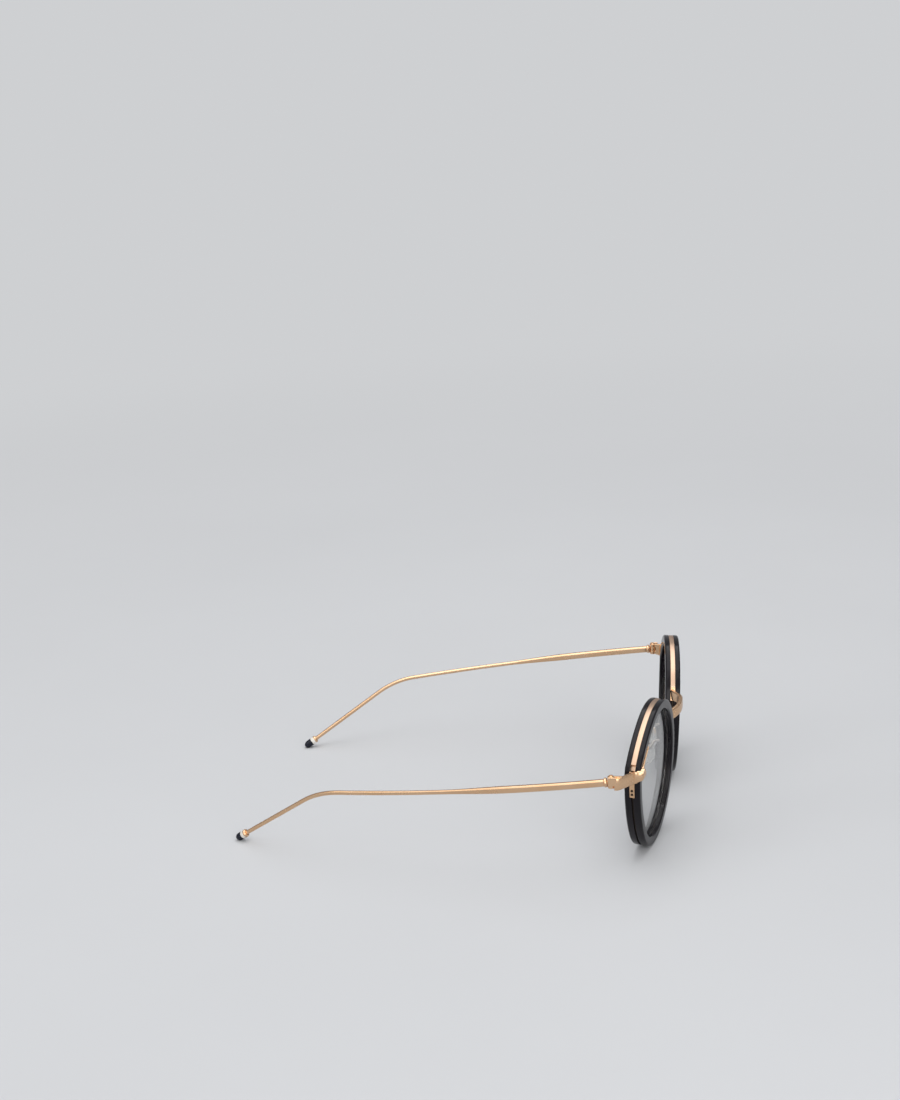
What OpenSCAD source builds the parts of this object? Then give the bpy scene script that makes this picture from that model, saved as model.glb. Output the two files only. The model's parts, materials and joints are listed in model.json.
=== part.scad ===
// Round eyeglasses: acetate layers clamped on a metal core, wire temples and small capped tips.
// Lengths are in millimetres. The front faces -Y, the wearer's left is +X and +Z is up.
// The glasses stand as laid on a table, on both rims and both tips. The origin is on the table,
// in the mirror plane, level with the middle of the rims' thickness.

/* [Rims] */
// Nominal width of one rim
rim_size = 52; // [47:1:57]
// Radius of a rim's outer upper corner
corner_r = 4.5; // [4:0.1:5.2]
// Gap between the two rims at the nose
bridge_gap = 20; // [18:0.2:24]
// Width of a rim seen from the front
face_w = 3.3; // [3.1:0.1:3.8]
// Thickness of a rim from front to back
rim_t = 5.4; // [4.6:0.1:6.4]
// Chamfer along the edges of the acetate
edge_cut = 0.4; // [0.2:0.05:0.6]
// Forward lean of the rims
lean = 3.7; // [0:0.1:8]
// Backward turn of each rim towards its temple
wrap = 7.8; // [3:0.1:11]

/* [Metal core] */
// Thickness of the eyewire's web between the acetate layers
core_t = 0.6; // [0.6:0.05:1]
// Thickness of the eyewire's rail, which holds the lens
rail_t = 1.7; // [1.4:0.05:2.2]
// Depth of the rail, seen from the front
rail_d = 1.3; // [1.1:0.05:1.4]
// Depth of the lens groove in the rail
groove_d = 0.65; // [0.4:0.05:0.8]
// Recess of the web below the outer edge of the acetate
web_sink = 0.7; // [0.3:0.05:0.9]
// Width of the brow band
band_w = 1.75; // [1.4:0.05:2.3]
// Depth of the brow band's channel
band_d = 1.6; // [1.2:0.05:1.7]
// Recess of the brow band below the outer edge of the acetate
band_sink = 0.12; // [0:0.02:0.3]

/* [Lenses] */
// Lens thickness
lens_t = 1.8; // [1.4:0.1:2.4]
// Radius of the lens surface
lens_curve_r = 180; // [120:5:300]

/* [End pieces] */
// Height of the end piece's strap
strap_h = 4.1; // [3.4:0.1:5]
// Thickness of the strap
strap_t = 1; // [0.8:0.05:1.3]
// Depth that the strap is let into the front layer
inlay = 0.3; // [0.15:0.05:0.5]
// Width of the tongue at its tip
tongue_tip_w = 0.35; // [0.2:0.05:0.6]

/* [Rim locks] */
// Length of the lock plate along the rim
lock_len = 4; // [3.4:0.1:5]
// Thickness of the lock plate
lock_t = 1; // [0.8:0.05:1.2]
// Distance between the two lock screws
lock_pitch = 1.4; // [1.2:0.05:1.8]
// Shank radius of a lock screw
lock_screw_r = 0.25; // [0.2:0.01:0.3]

/* [Hinges] */
// Distance of the hinge outside the rim
hinge_out = 6.8; // [5.5:0.1:8]
// Distance of the hinge behind the middle of the rim
hinge_back = 6.1; // [5.5:0.1:7.5]
// Radius of the hinge knuckles
knuckle_r = 1.15; // [1:0.05:1.3]
// Height of the temple's middle knuckle
knuckle_h = 1.3; // [1:0.05:1.8]
// Height of each front knuckle
front_knuckle_h = 1.3; // [1:0.05:1.8]
// Thickness of the hinge leaf behind the strap
leaf_t = 0.9; // [0.7:0.05:1]
// Radius of the hinge screw's shank
pin_r = 0.45; // [0.35:0.01:0.55]

/* [Temples] */
// Distance from the hinge to the ear bend, along the side of the head
arm_run = 103.1; // [90:0.5:112]
// Distance that the ear bend lies inside the hinge
arm_in = 10.9; // [6:0.1:14]
// Distance that the ear bend lies below the hinge
arm_drop = 11.1; // [7:0.1:14]
// Outward bow of the arm between the hinge and the ear bend
arm_bow = 3.8; // [1:0.1:6]
// Distance from the ear bend to the tip, along the side of the head
leg_run = 34; // [28:0.5:40]
// Distance that the tip lies inside the ear bend
leg_in = 12.4; // [8:0.1:16]
// Height of the arm behind the hinge
arm_h = 2.4; // [2:0.1:3]
// Width of the arm behind the hinge
arm_w = 1.9; // [1.6:0.1:2.4]
// Chamfer along the arm behind the hinge
arm_cut = 0.5; // [0.3:0.05:0.7]
// Radius of the temple wire
wire_r = 0.76; // [0.65:0.01:0.95]
// Distance behind the hinge where the arm starts to get thinner
taper_from = 34; // [20:1:44]
// Distance behind the hinge where the arm has become plain wire
taper_to = 58; // [50:1:75]
// Radius of the collar at the start of the arm
collar_r = 1.6; // [1.4:0.05:1.9]
// Thickness of the collar
collar_t = 0.6; // [0.4:0.05:0.9]

/* [Tips] */
// Radius of the tip
tip_r = 1.42; // [1.25:0.01:1.7]
// Length of the cap's straight part
cap_len = 1.5; // [1.1:0.1:2.2]
// Length of the cap's rounded end
cap_end = 1.9; // [1.5:0.1:2.5]
// Length of the pale ring
ring_len = 1.3; // [0.8:0.1:2]
// Length of the ferrule
ferrule_len = 0.9; // [0.6:0.1:1.5]

/* [Bridge] */
// Height of the bridge strip
bridge_h = 2.6; // [2.2:0.1:3.2]
// Thickness of the bridge strip
bridge_t = 2; // [1.6:0.05:2.2]
// Height of the bridge above the middle of the rims
bridge_v = 12.4; // [10:0.1:14]
// Distance that the bridge stands in front of its feet
bridge_out = 3.5; // [2.8:0.1:5]
// Rise of the bridge above its feet
bridge_rise = 0.8; // [0:0.1:2]

/* [Nose pads] */
// Length of a nose pad
pad_len = 13; // [11:0.5:15]
// Width of a nose pad
pad_w = 7; // [6:0.2:8]
// Thickness of a nose pad
pad_t = 2.4; // [2:0.1:3]
// Distance of a pad's middle from the mirror plane
pad_x = 7.7; // [7:0.1:8.6]
// Distance of a pad's middle behind the origin
pad_y = 4.2; // [3.4:0.1:5]
// Height of a pad's middle above the middle of the rims
pad_v = -1; // [-3:0.1:1]
// Turn of the pads, open towards the face
pad_splay = 25; // [15:1:35]
// Turn of the pads, open towards the chin
pad_flare = 15; // [8:1:22]
// Radius of the pad arm's wire
pad_wire_r = 0.5; // [0.4:0.05:0.6]
// Shank radius of a pad screw
pad_pin_r = 0.3; // [0.25:0.01:0.36]

/* [Hidden] */

// Clearance between pieces that seat in each other
fit = 0.02;
// Running clearance between pieces that turn on each other
run = 0.05;
// Overrun of cuts, and of pieces that are joined inside others
over = 0.6;
// Coarse step of the moves that place a rim's arcs
move_step = 0.01;

acetate = "#1c1a20";
gold = "#d0ab86";
ivory = "#efe8da";
navy = "#1c2540";
silicone = [0.92, 0.92, 0.9, 0.7];
glass = [0.8, 0.86, 0.9, 0.35];

RIGHT = -1;
LEFT = 1;

// A rim's outline is eight arcs that run into each other. Angles turn from straight up to the temple.
arc_turns = [-26, 22, 47, 95, 129, 210, 253, 313, 334];
arc_shares = [0.52, 0.86, 0, 0, 0.43, 0.5, 0, 0.39];
corner_index = 2;
side_index = 3;
foot_index = 4;
nose_index = 6;
given_r = [for (i = [0 : 7]) i == corner_index ? corner_r : arc_shares[i] * rim_size];

function heading(turn) = [sin(turn), cos(turn)];
function sum(list, i = 0) = i == len(list) ? [0, 0] : list[i] + sum(list, i + 1);
function arc_step(i) = heading(arc_turns[i + 1]) - heading(arc_turns[i]);

// The side and nose radii are the two that close the outline
open_gap = sum([for (i = [0 : 7]) given_r[i] * arc_step(i)]);
side_step = arc_step(side_index);
nose_step = arc_step(nose_index);
step_cross = side_step[0] * nose_step[1] - side_step[1] * nose_step[0];
side_r = (nose_step[0] * open_gap[1] - nose_step[1] * open_gap[0]) / step_cross;
nose_r = (side_step[1] * open_gap[0] - side_step[0] * open_gap[1]) / step_cross;
arc_r = [for (i = [0 : 7]) i == side_index ? side_r : i == nose_index ? nose_r : given_r[i]];

function loose_centre(i) = i == 0 ? [0, 0]
    : loose_centre(i - 1) + (arc_r[i - 1] - arc_r[i]) * heading(arc_turns[i]);

top_shift_share = 0.023;
rim_h = loose_centre(0)[1] + arc_r[0] - loose_centre(foot_index)[1] + arc_r[foot_index];
first_centre = [-top_shift_share * rim_size, rim_h / 2 - arc_r[0]];
arc_c = [for (i = [0 : 7]) loose_centre(i) + first_centre];

function arc_at(turn, i = 0) = turn <= arc_turns[i + 1] || i == 7 ? i : arc_at(turn, i + 1);
function on_rim(turn, depth = 0) = turn < arc_turns[0] ? on_rim(turn + 360, depth)
    : turn > arc_turns[8] ? on_rim(turn - 360, depth)
    : arc_c[arc_at(turn)] + (arc_r[arc_at(turn)] - depth) * heading(turn);

// Angles at which the outline passes a height, on its corner, side and nose arcs
function corner_turn(v) = acos((v - arc_c[corner_index][1]) / arc_r[corner_index]);
function side_turn(v) = acos((v - arc_c[side_index][1]) / arc_r[side_index]);
function nose_turn(v) = -acos((v - arc_c[nose_index][1]) / arc_r[nose_index]);

// Rim places: u runs to the temple, v up and w to the front
half_t = rim_t / 2;
web_in = face_w - rail_d;
rim_reach = on_rim(90)[0];
rim_nose_reach = -on_rim(270)[0];
rim_x = bridge_gap / 2 + rim_nose_reach * cos(wrap);
lean_foot = norm([cos(lean), sin(wrap) * sin(lean)]);
foot_low = arc_c[foot_index][0] * sin(wrap) * sin(lean) + arc_c[foot_index][1] * cos(lean) - arc_r[foot_index] * lean_foot;
rim_z = (half_t - edge_cut) * cos(wrap) * sin(lean) - foot_low;

function plan(u, w) = [rim_x + u * cos(wrap) + w * sin(wrap), u * sin(wrap) - w * cos(wrap)];
function leaned(p, v) = [p[0], p[1] * cos(lean) - v * sin(lean), rim_z + p[1] * sin(lean) + v * cos(lean)];
function from_rim(p, w) = leaned(plan(p[0], w), p[1]);
function mirrored(p) = [-p[0], p[1], p[2]];

strap_v = arc_c[corner_index][1];
strap_top = strap_v + strap_h * 0.4;
strap_foot = strap_top - strap_h;
root_from = corner_turn(strap_top);
root_to = side_turn(strap_foot);
foot_h = bridge_h + band_w / 2;
foot_from = nose_turn(bridge_v - foot_h / 2);
foot_to = nose_turn(bridge_v + foot_h / 2);
lock_top = strap_foot - lock_len / 2;
lock_from = side_turn(lock_top);
lock_to = side_turn(lock_top - lock_len);
lock_mid = side_turn(lock_top - lock_len / 2);
lock_turns = [for (s = [-1, 1]) side_turn(lock_top - lock_len / 2 + s * lock_pitch / 2)];

// Hinge axis
hinge_plan = plan(rim_reach, 0) + [hinge_out, hinge_back];
hinge = leaned(hinge_plan, strap_v);
barrel_h = knuckle_h + 2 * front_knuckle_h + 2 * run;
strap_out_x = hinge[0] + knuckle_r;
hinge_wall = hinge[1] - knuckle_r - 2 * run;

// Temple line
ear = hinge + [-arm_in, arm_run, -arm_drop];
rough_leg = [-leg_in, leg_run, tip_r - ear[2]];
rough_dip = asin(-rough_leg[2] / norm(rough_leg));
tip_rest = norm([cap_end * sin(rough_dip), tip_r * cos(rough_dip)]);
tip = ear + [-leg_in, leg_run, tip_rest - ear[2]];
ear_cut = 8;
arm_steps = 22;
bend_steps = 7;
collar_from = knuckle_r + over;
collar_to = collar_from + collar_t;
cap_depth = cap_len * 0.7;

function unit(a) = a / norm(a);
function mix(a, b, t) = a + (b - a) * t;
function clamp(t) = min(1, max(0, t));
function ease(t) = clamp(t) * clamp(t) * (3 - 2 * clamp(t));
function bezier(a, b, c, t) = mix(mix(a, b, t), mix(b, c, t), t);
function bend(a, p, b, cut, n) = let (from = p + cut * unit(a - p), to = p + cut * unit(b - p))
    [for (k = [0 : n]) bezier(from, p, to, k / n)];
function soft_path(p, cut, n) = [
    p[0],
    for (i = [1 : len(p) - 2]) each bend(p[i - 1], p[i], p[i + 1], cut, n),
    p[len(p) - 1]
];
function tangent(path, i) = unit(path[min(i + 1, len(path) - 1)] - path[max(i - 1, 0)]);

// The arm bows outwards as a flat arc, then bends down behind the ear
function arm_point(t) = mix(hinge, ear, t) + [arm_bow * 4 * t * (1 - t), 0, 0];
arm_length = norm(ear - hinge);
arm_dir = unit(ear - hinge + [4 * arm_bow, 0, 0]);
bend_dir = unit(ear - hinge - [4 * arm_bow, 0, 0]);
leg_dir = unit(tip - ear);
arm_start_share = collar_to / arm_length;
bend_share = 1 - ear_cut / arm_length;
temple_path = [
    for (i = [0 : arm_steps]) arm_point(mix(arm_start_share, bend_share, i / arm_steps)),
    for (k = [1 : bend_steps])
        bezier(ear - ear_cut * bend_dir, ear, ear + ear_cut * leg_dir, k / bend_steps),
    tip - leg_dir * (cap_len - cap_depth)
];

// Sections have the corners of a chamfered box and the middles of its sides
section_sides = 16;
function box_corners(w, h, cut) = let (a = w / 2, b = h / 2)
    [[a, b - cut], [a - cut, b], [cut - a, b], [-a, b - cut], [-a, cut - b], [cut - a, -b], [a - cut, -b], [a, cut - b]];
function with_middles(p) = [for (i = [0 : len(p) - 1]) each [p[i], (p[i] + p[(i + 1) % len(p)]) / 2]];
function ring(r, n, first = 0) = [for (i = [0 : n - 1]) r * [cos(first + 360 * i / n), sin(first + 360 * i / n)]];
function section_mix(a, b, t) = [for (i = [0 : len(a) - 1]) mix(a[i], b[i], t)];
function behind_hinge(p) = p[1] - hinge[1];
function arm_section(p) = section_mix(
    with_middles(box_corners(arm_w, arm_h, arm_cut)), ring(wire_r, section_sides, 180 / section_sides),
    ease((behind_hinge(p) - taper_from) / (taper_to - taper_from)));

UP = [0, 0, 1];
function side_of(t, up) = unit(cross(up, t));

// A closed skin through one ring of points round each point of a path
module loft(path, sections, up = UP) {
    n = len(path);
    m = len(sections[0]);
    points = [
        for (i = [0 : n - 1])
            let (t = tangent(path, i), s = side_of(t, up), v = cross(t, s))
                for (q = sections[i]) path[i] + q[0] * s + q[1] * v
    ];
    skin = [
        for (i = [0 : n - 2], j = [0 : m - 1])
            let (k = (j + 1) % m, a = i * m + j, b = i * m + k, c = a + m, d = b + m)
                each [[a, c, b], [b, c, d]]
    ];
    start_cap = [for (j = [1 : m - 2]) [0, j, j + 1]];
    end_cap = [for (j = [1 : m - 2]) [(n - 1) * m, (n - 1) * m + j + 1, (n - 1) * m + j]];
    polyhedron(points = points, faces = concat(skin, start_cap, end_cap), convexity = 8);
}

module both_sides(side) mirror([side == RIGHT ? 1 : 0, 0, 0]) children();

// The rim's own frame, with u, v and w as x, y and z
module in_rim(side)
    both_sides(side)
        translate([rim_x, 0, rim_z]) rotate([lean, 0, 0]) rotate([90, 0, wrap]) children();

// The frame of a direction, with z along it
module along(p, t, up = UP) {
    s = side_of(t, up);
    v = cross(t, s);
    multmatrix([
        [s[0], v[0], t[0], p[0]],
        [s[1], v[1], t[1], p[1]],
        [s[2], v[2], t[2], p[2]],
        [0, 0, 0, 1]
    ]) children();
}

// Moves in a coarse and a fine step, because neighbouring arcs meet only if every figure is kept
module move_exactly(p) {
    coarse = [for (x = p) round(x / move_step) * move_step];
    translate(coarse) translate(p - coarse) children();
}

// Sweeps a section along the rim between two angles. Its x is 0 on the outline and negative inside.
module follow(from, to)
    for (lap = [-360, 0, 360], i = [0 : 7]) {
        a = max(from, arc_turns[i] + lap);
        b = min(to, arc_turns[i + 1] + lap);
        if (b > a)
            move_exactly(arc_c[i])
                rotate_extrude(angle = b - a, start = 90 - b, $fn = 180)
                    move_exactly([arc_r[i], 0]) children();
    }

module all_round() follow(arc_turns[0], arc_turns[8]) children();

module strip(depth_from, depth_to, w)
    translate([-depth_to, -w / 2]) square([depth_to - depth_from, w]);

// Channels in the rim for the gold pieces
module upper_channel(w) follow(foot_from, root_to) strip(-over, band_d + fit, w);
module lock_channel(w) follow(lock_from, lock_to) strip(-over, lock_t + fit, w);

module layer_section()
    polygon([
        [0, core_t / 2],
        [0, half_t - edge_cut],
        [-edge_cut, half_t],
        [edge_cut - face_w, half_t],
        [-face_w, half_t - edge_cut],
        [-face_w, rail_t / 2 + fit],
        [fit - web_in, rail_t / 2 + fit],
        [fit - web_in, core_t / 2]
    ]);

module layer()
    difference() {
        all_round() layer_section();
        upper_channel(band_w + 2 * fit);
        lock_channel(band_w + 2 * fit);
    }

strap_in_u = rim_reach - inlay;
module strap_notch()
    translate([strap_in_u - fit, strap_foot - fit, band_w / 2])
        cube([inlay + over, strap_h + 2 * fit, rim_t]);

module front_rim(side)
    color(acetate) in_rim(side) difference() {
        layer();
        strap_notch();
    }

module rear_rim(side)
    color(acetate) in_rim(side) mirror([0, 0, 1]) layer();

module eyewire_section()
    polygon([
        [-web_sink, -core_t / 2],
        [-web_sink, core_t / 2],
        [-web_in, core_t / 2],
        [-web_in, rail_t / 2],
        [-face_w, rail_t / 2],
        [-face_w, groove_d],
        [groove_d - face_w, 0],
        [-face_w, -groove_d],
        [-face_w, -rail_t / 2],
        [-web_in, -rail_t / 2],
        [-web_in, -core_t / 2]
    ]);

slit_w = 0.15;
module eyewire(side)
    color(gold) in_rim(side) difference() {
        all_round() eyewire_section();
        upper_channel(rail_t);
        lock_channel(rail_t);
        translate(on_rim(lock_mid, face_w / 2))
            rotate([0, 0, -lock_mid]) cube([slit_w, face_w + over, rail_t + over], center = true);
        for (turn = lock_turns) lock_bore(turn, lock_screw_r + fit);
    }

module brow_band(side)
    color(gold) in_rim(side) follow(foot_to, root_from) strip(band_sink, band_d, band_w);

// Lenses: a plate of even thickness between two spheres, with a V edge that sits in the groove
lens_gap = 0.05;
lens_edge = face_w + lens_gap;
lens_bow = lens_curve_r - sqrt(pow(lens_curve_r, 2) - pow(rim_h / 2 - lens_edge, 2));
lens_centre_w = lens_t / 2 + lens_bow - lens_curve_r;
lens_v = groove_d - lens_gap;
lens_steps = 7;

function rim_line(depth) = [
    for (i = [0 : 7], k = [0 : lens_steps - 1])
        on_rim(mix(arc_turns[i], arc_turns[i + 1], k / lens_steps), depth)
];
function flat_ring(line, w) = [for (p = line) [p[0], p[1], w]];
function domed(p, r) = [p[0], p[1], lens_centre_w + sqrt(pow(r, 2) - p * p)];
function domed_ring(r, share) = [for (p = rim_line(lens_edge)) domed(share * p, r)];

module lens_solid() {
    back_r = lens_curve_r - lens_t;
    rings = [
        for (k = [1 : 4]) domed_ring(lens_curve_r, k / 4),
        flat_ring(rim_line(lens_edge), lens_v),
        flat_ring(rim_line(lens_edge - lens_v), 0),
        flat_ring(rim_line(lens_edge), -lens_v),
        for (k = [4 : -1 : 1]) domed_ring(back_r, k / 4)
    ];
    n = len(rings);
    m = len(rings[0]);
    middle = n * m;
    skin = [
        for (i = [0 : n - 2], j = [0 : m - 1])
            let (k = (j + 1) % m, a = i * m + j, b = i * m + k, c = a + m, d = b + m)
                each [[a, b, c], [b, d, c]]
    ];
    front_cap = [for (j = [0 : m - 1]) [middle, (j + 1) % m, j]];
    back_cap = [for (j = [0 : m - 1]) [middle + 1, middle - m + j, middle - m + (j + 1) % m]];
    polyhedron(
        points = concat([for (r = rings) each r], [domed([0, 0], lens_curve_r), domed([0, 0], back_r)]),
        faces = concat(skin, front_cap, back_cap), convexity = 4);
}

module lens(side)
    color(glass) in_rim(side) lens_solid();

// End piece: a strap from the front face round the front layer and out to the hinge
strap_mid_u = strap_in_u + strap_t / 2;
strap_line = [
    plan(rim_reach - face_w, half_t + strap_t / 2),
    plan(strap_mid_u, half_t + strap_t / 2),
    plan(strap_mid_u, band_w / 2),
    [strap_out_x - strap_t / 2, hinge_plan[1] - 2 * knuckle_r],
    [strap_out_x - strap_t / 2, hinge_plan[1] - knuckle_r - 2 * run]
];
function edge_normal(path, i) = let (t = tangent(path, i)) [t[1], -t[0]];
function ribbon(path, t) = [
    for (i = [0 : len(path) - 1]) path[i] + edge_normal(path, i) * t / 2,
    for (i = [len(path) - 1 : -1 : 0]) path[i] - edge_normal(path, i) * t / 2
];

tongue_turns = [38.5, 66];
function tongue_w(t) = mix(tongue_tip_w, face_w, pow(t, 3));
module claw_tongue()
    translate([0, 0, half_t])
        linear_extrude(strap_t - 2 * fit) polygon([
            for (k = [0 : 14]) on_rim(mix(tongue_turns[0], tongue_turns[1], k / 14), face_w),
            for (k = [14 : -1 : 0]) on_rim(mix(tongue_turns[0], tongue_turns[1], k / 14), face_w - tongue_w(k / 14))
        ]);

module strap()
    translate([0, 0, rim_z]) rotate([lean, 0, 0]) translate([0, 0, strap_foot])
        linear_extrude(strap_h) polygon(ribbon(soft_path(strap_line, strap_t, 5), strap_t));

// The strap's lower front corner sweeps up into the claw as a quarter of an ellipse
hook_rise = strap_h * 1.3;
hook_start = [strap_foot - fit, strap_t + fit];
hook_front = half_t + strap_t + over;
module hook_cut()
    translate([rim_reach - 2 * face_w, 0, 0]) rotate([90, 0, 90])
        linear_extrude(4 * face_w) polygon([
            for (k = [0 : 10]) hook_start + [hook_rise * (1 - cos(9 * k)), half_t * sin(9 * k)],
            [hook_start[0] + hook_rise, hook_front],
            [hook_start[0] - over, hook_front],
            [hook_start[0] - over, hook_start[1]]
        ]);

module end_piece(side)
    color(gold) difference() {
        union() {
            both_sides(side) strap();
            in_rim(side) {
                claw_tongue();
                follow(root_from, root_to) strip(-inlay - strap_t / 2, band_d, band_w);
            }
        }
        in_rim(side) hook_cut();
    }

// Lock plate: closes the eyewire's slit from outside
module lock_bore(turn, r)
    translate(on_rim(turn, web_in)) rotate([-90, 0, -turn]) cylinder(h = web_in + over, r = r, $fn = 24);

module rim_lock(side)
    color(gold) in_rim(side) difference() {
        follow(lock_from, lock_to) strip(-band_sink, lock_t, band_w);
        for (turn = lock_turns) lock_bore(turn, lock_screw_r + fit);
    }

lock_head_h = 0.2;
module lock_screws(side)
    color(gold) in_rim(side)
        for (turn = lock_turns)
            translate(on_rim(turn, web_in - fit)) rotate([-90, 0, -turn]) {
                cylinder(h = web_in + band_sink, r = lock_screw_r, $fn = 24);
                translate([0, 0, web_in + band_sink - fit])
                    cylinder(h = lock_head_h, r = 1.8 * lock_screw_r, $fn = 24);
            }

// Hinge: two front knuckles and the temple's knuckle on one screw
module knuckle(z, h)
    translate([hinge[0], hinge[1], hinge[2] + z]) cylinder(h = h, r = knuckle_r, $fn = 48);

module hinge_bore(r)
    translate([hinge[0], hinge[1], hinge[2] - barrel_h]) cylinder(h = 2 * barrel_h, r = r, $fn = 32);

leaf_x = strap_out_x - strap_t - leaf_t;
leaf_len = 2 * knuckle_r;
module front_hinge(side)
    color(gold) both_sides(side) difference() {
        union() {
            for (z = [-barrel_h / 2, barrel_h / 2 - front_knuckle_h]) {
                knuckle(z, front_knuckle_h);
                translate([leaf_x, hinge_wall - fit, hinge[2] + z])
                    cube([leaf_t, knuckle_r + 2 * run + fit, front_knuckle_h]);
            }
            translate([leaf_x, hinge_wall - leaf_len, hinge[2] - barrel_h / 2])
                cube([leaf_t, leaf_len, barrel_h]);
        }
        hinge_bore(pin_r + fit);
        strap();
    }

screw_head_r = 1.7 * pin_r;
screw_head_h = 0.8 * pin_r;
slot_w = 0.5 * pin_r;
module hinge_screw(side)
    color(gold) both_sides(side) translate(hinge) difference() {
        union() {
            translate([0, 0, -barrel_h / 2]) cylinder(h = barrel_h, r = pin_r, $fn = 32);
            translate([0, 0, barrel_h / 2]) cylinder(h = screw_head_h, r = screw_head_r, $fn = 32);
        }
        translate([-over - pin_r, -slot_w / 2, barrel_h / 2 + screw_head_h / 2])
            cube([2 * over + 2 * pin_r, slot_w, screw_head_h]);
    }

module temple_hinge(side)
    color(gold) both_sides(side) difference() {
        union() {
            knuckle(-knuckle_h / 2, knuckle_h);
            intersection() {
                along(hinge, arm_dir)
                    translate([-pin_r - fit, -knuckle_h, 0]) cube([2 * pin_r + 2 * fit, 2 * knuckle_h, collar_from - fit]);
                translate([hinge[0] - 2 * collar_to, hinge[1], hinge[2] - knuckle_h / 2])
                    cube([4 * collar_to, 2 * collar_to, knuckle_h]);
            }
        }
        hinge_bore(pin_r + run);
    }

module temple_collar(side)
    color(gold) both_sides(side) along(hinge + collar_from * arm_dir, arm_dir)
        cylinder(h = collar_t - fit, r = collar_r, $fn = 48);

module temple_arm(side)
    color(gold) both_sides(side) loft(temple_path, [for (p = temple_path) arm_section(p)]);

// Tip: measured back from the middle of the cap's rounded end
module tip_part(side, from) both_sides(side) along(tip - leg_dir * from, leg_dir) children();

module tip_cap(side)
    color(navy) tip_part(side, cap_len) difference() {
        rotate_extrude($fn = 64) polygon([
            [0, 0],
            [tip_r, 0],
            for (k = [0 : 9]) [tip_r * cos(10 * k), cap_len + cap_end * sin(10 * k)],
            [0, cap_len + cap_end]
        ]);
        translate([0, 0, -over]) cylinder(h = over + cap_depth + fit, r = wire_r + fit, $fn = 32);
    }

module tip_ring(side)
    color(ivory) tip_part(side, cap_len + ring_len) difference() {
        cylinder(h = ring_len, r = tip_r, $fn = 64);
        translate([0, 0, -over]) cylinder(h = ring_len + 2 * over, r = wire_r + fit, $fn = 32);
    }

module tip_ferrule(side)
    color(gold) tip_part(side, cap_len + ring_len + ferrule_len) difference() {
        rotate_extrude($fn = 64) polygon([
            [0, 0],
            [mix(wire_r, tip_r, 0.5), 0],
            [tip_r, ferrule_len / 2],
            [tip_r, ferrule_len],
            [0, ferrule_len]
        ]);
        translate([0, 0, -over]) cylinder(h = ferrule_len + 2 * over, r = wire_r + fit, $fn = 32);
    }

// Bridge: leaves each rim's channel towards the nose, sweeps forward and crosses in front
foot_turn = nose_turn(bridge_v);
bridge_root = from_rim(on_rim(foot_turn, band_d / 2), 0);
bridge_lead = from_rim(on_rim(foot_turn) - [band_w, 0], 0);
bridge_front = [bridge_gap * 0.25, bridge_lead[1] - bridge_out, bridge_lead[2] + bridge_rise];
half_bridge = [
    bridge_root,
    each bend(bridge_root, bridge_lead, bridge_front, band_w, 5),
    each bend(bridge_lead, bridge_front, mirrored(bridge_front), bridge_gap * 0.18, 8)
];
bridge_line = concat(half_bridge, [for (i = [len(half_bridge) - 1 : -1 : 0]) mirrored(half_bridge[i])]);
bridge_root_t = band_w * 0.85;
bridge_cut = bridge_root_t * 0.28;
function bridge_width(p) = mix(bridge_root_t, bridge_t, ease((bridge_lead[1] - p[1]) / bridge_out));

module bridge()
    color(gold) {
        loft(bridge_line, [for (p = bridge_line) box_corners(bridge_width(p), bridge_h, bridge_cut)]);
        for (side = [RIGHT, LEFT])
            in_rim(side) follow(foot_from, foot_to) strip(band_sink, band_d, band_w);
    }

// Nose pads: z points to the nose, y up along the pad and x to the front
pad_z = rim_z + pad_v;
module on_pad(side)
    both_sides(side)
        translate([pad_x, pad_y, pad_z]) rotate([0, -pad_flare, 0]) rotate([90, 0, -90 - pad_splay]) children();

pad_dome_r = pad_len;
pad_small_r = pad_w * 0.36;
pad_big_r = pad_w / 2;
pad_top_y = pad_len / 2 - pad_small_r;
pad_low_y = pad_big_r - pad_len / 2;
pad_side_turn = asin((pad_big_r - pad_small_r) / (pad_top_y - pad_low_y));
pad_outline = [
    for (k = [0 : 12]) [0, pad_top_y] + pad_small_r * heading(mix(90 - pad_side_turn, pad_side_turn - 90, k / 12)),
    for (k = [0 : 16]) [0, pad_low_y] + pad_big_r * heading(mix(pad_side_turn - 90, -270 - pad_side_turn, k / 16))
];

insert_r = pad_w * 0.24;
insert_t = pad_t * 0.2;
lug_w = pad_pin_r * 3;
lug_r = pad_pin_r * 2.3;
pad_pin_z = -pad_pin_r * 5;
cheek_t = pad_pin_r * 1.5;
cheek_gap = run;
box_back = pad_pin_z - lug_r - run * 2;

module nose_pad(side)
    color(silicone) on_pad(side) difference() {
        intersection() {
            linear_extrude(pad_t) polygon(pad_outline);
            translate([0, 0, pad_t - pad_dome_r]) rotate([90, 0, 0]) sphere(pad_dome_r, $fn = 120);
        }
        translate([0, 0, -over]) cylinder(h = over + insert_t + fit, r = insert_r + fit, $fn = 48);
    }

module pad_bore(r)
    translate([-pad_w, 0, pad_pin_z]) rotate([0, 90, 0]) cylinder(h = 2 * pad_w, r = r, $fn = 24);

module pad_insert(side)
    color(gold) on_pad(side) difference() {
        union() {
            cylinder(h = insert_t, r = insert_r, $fn = 48);
            translate([-lug_w / 2, -lug_r, pad_pin_z]) cube([lug_w, 2 * lug_r, insert_t / 2 - pad_pin_z]);
            translate([-lug_w / 2, 0, pad_pin_z]) rotate([0, 90, 0]) cylinder(h = lug_w, r = lug_r, $fn = 32);
        }
        pad_bore(pad_pin_r + run);
    }

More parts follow.
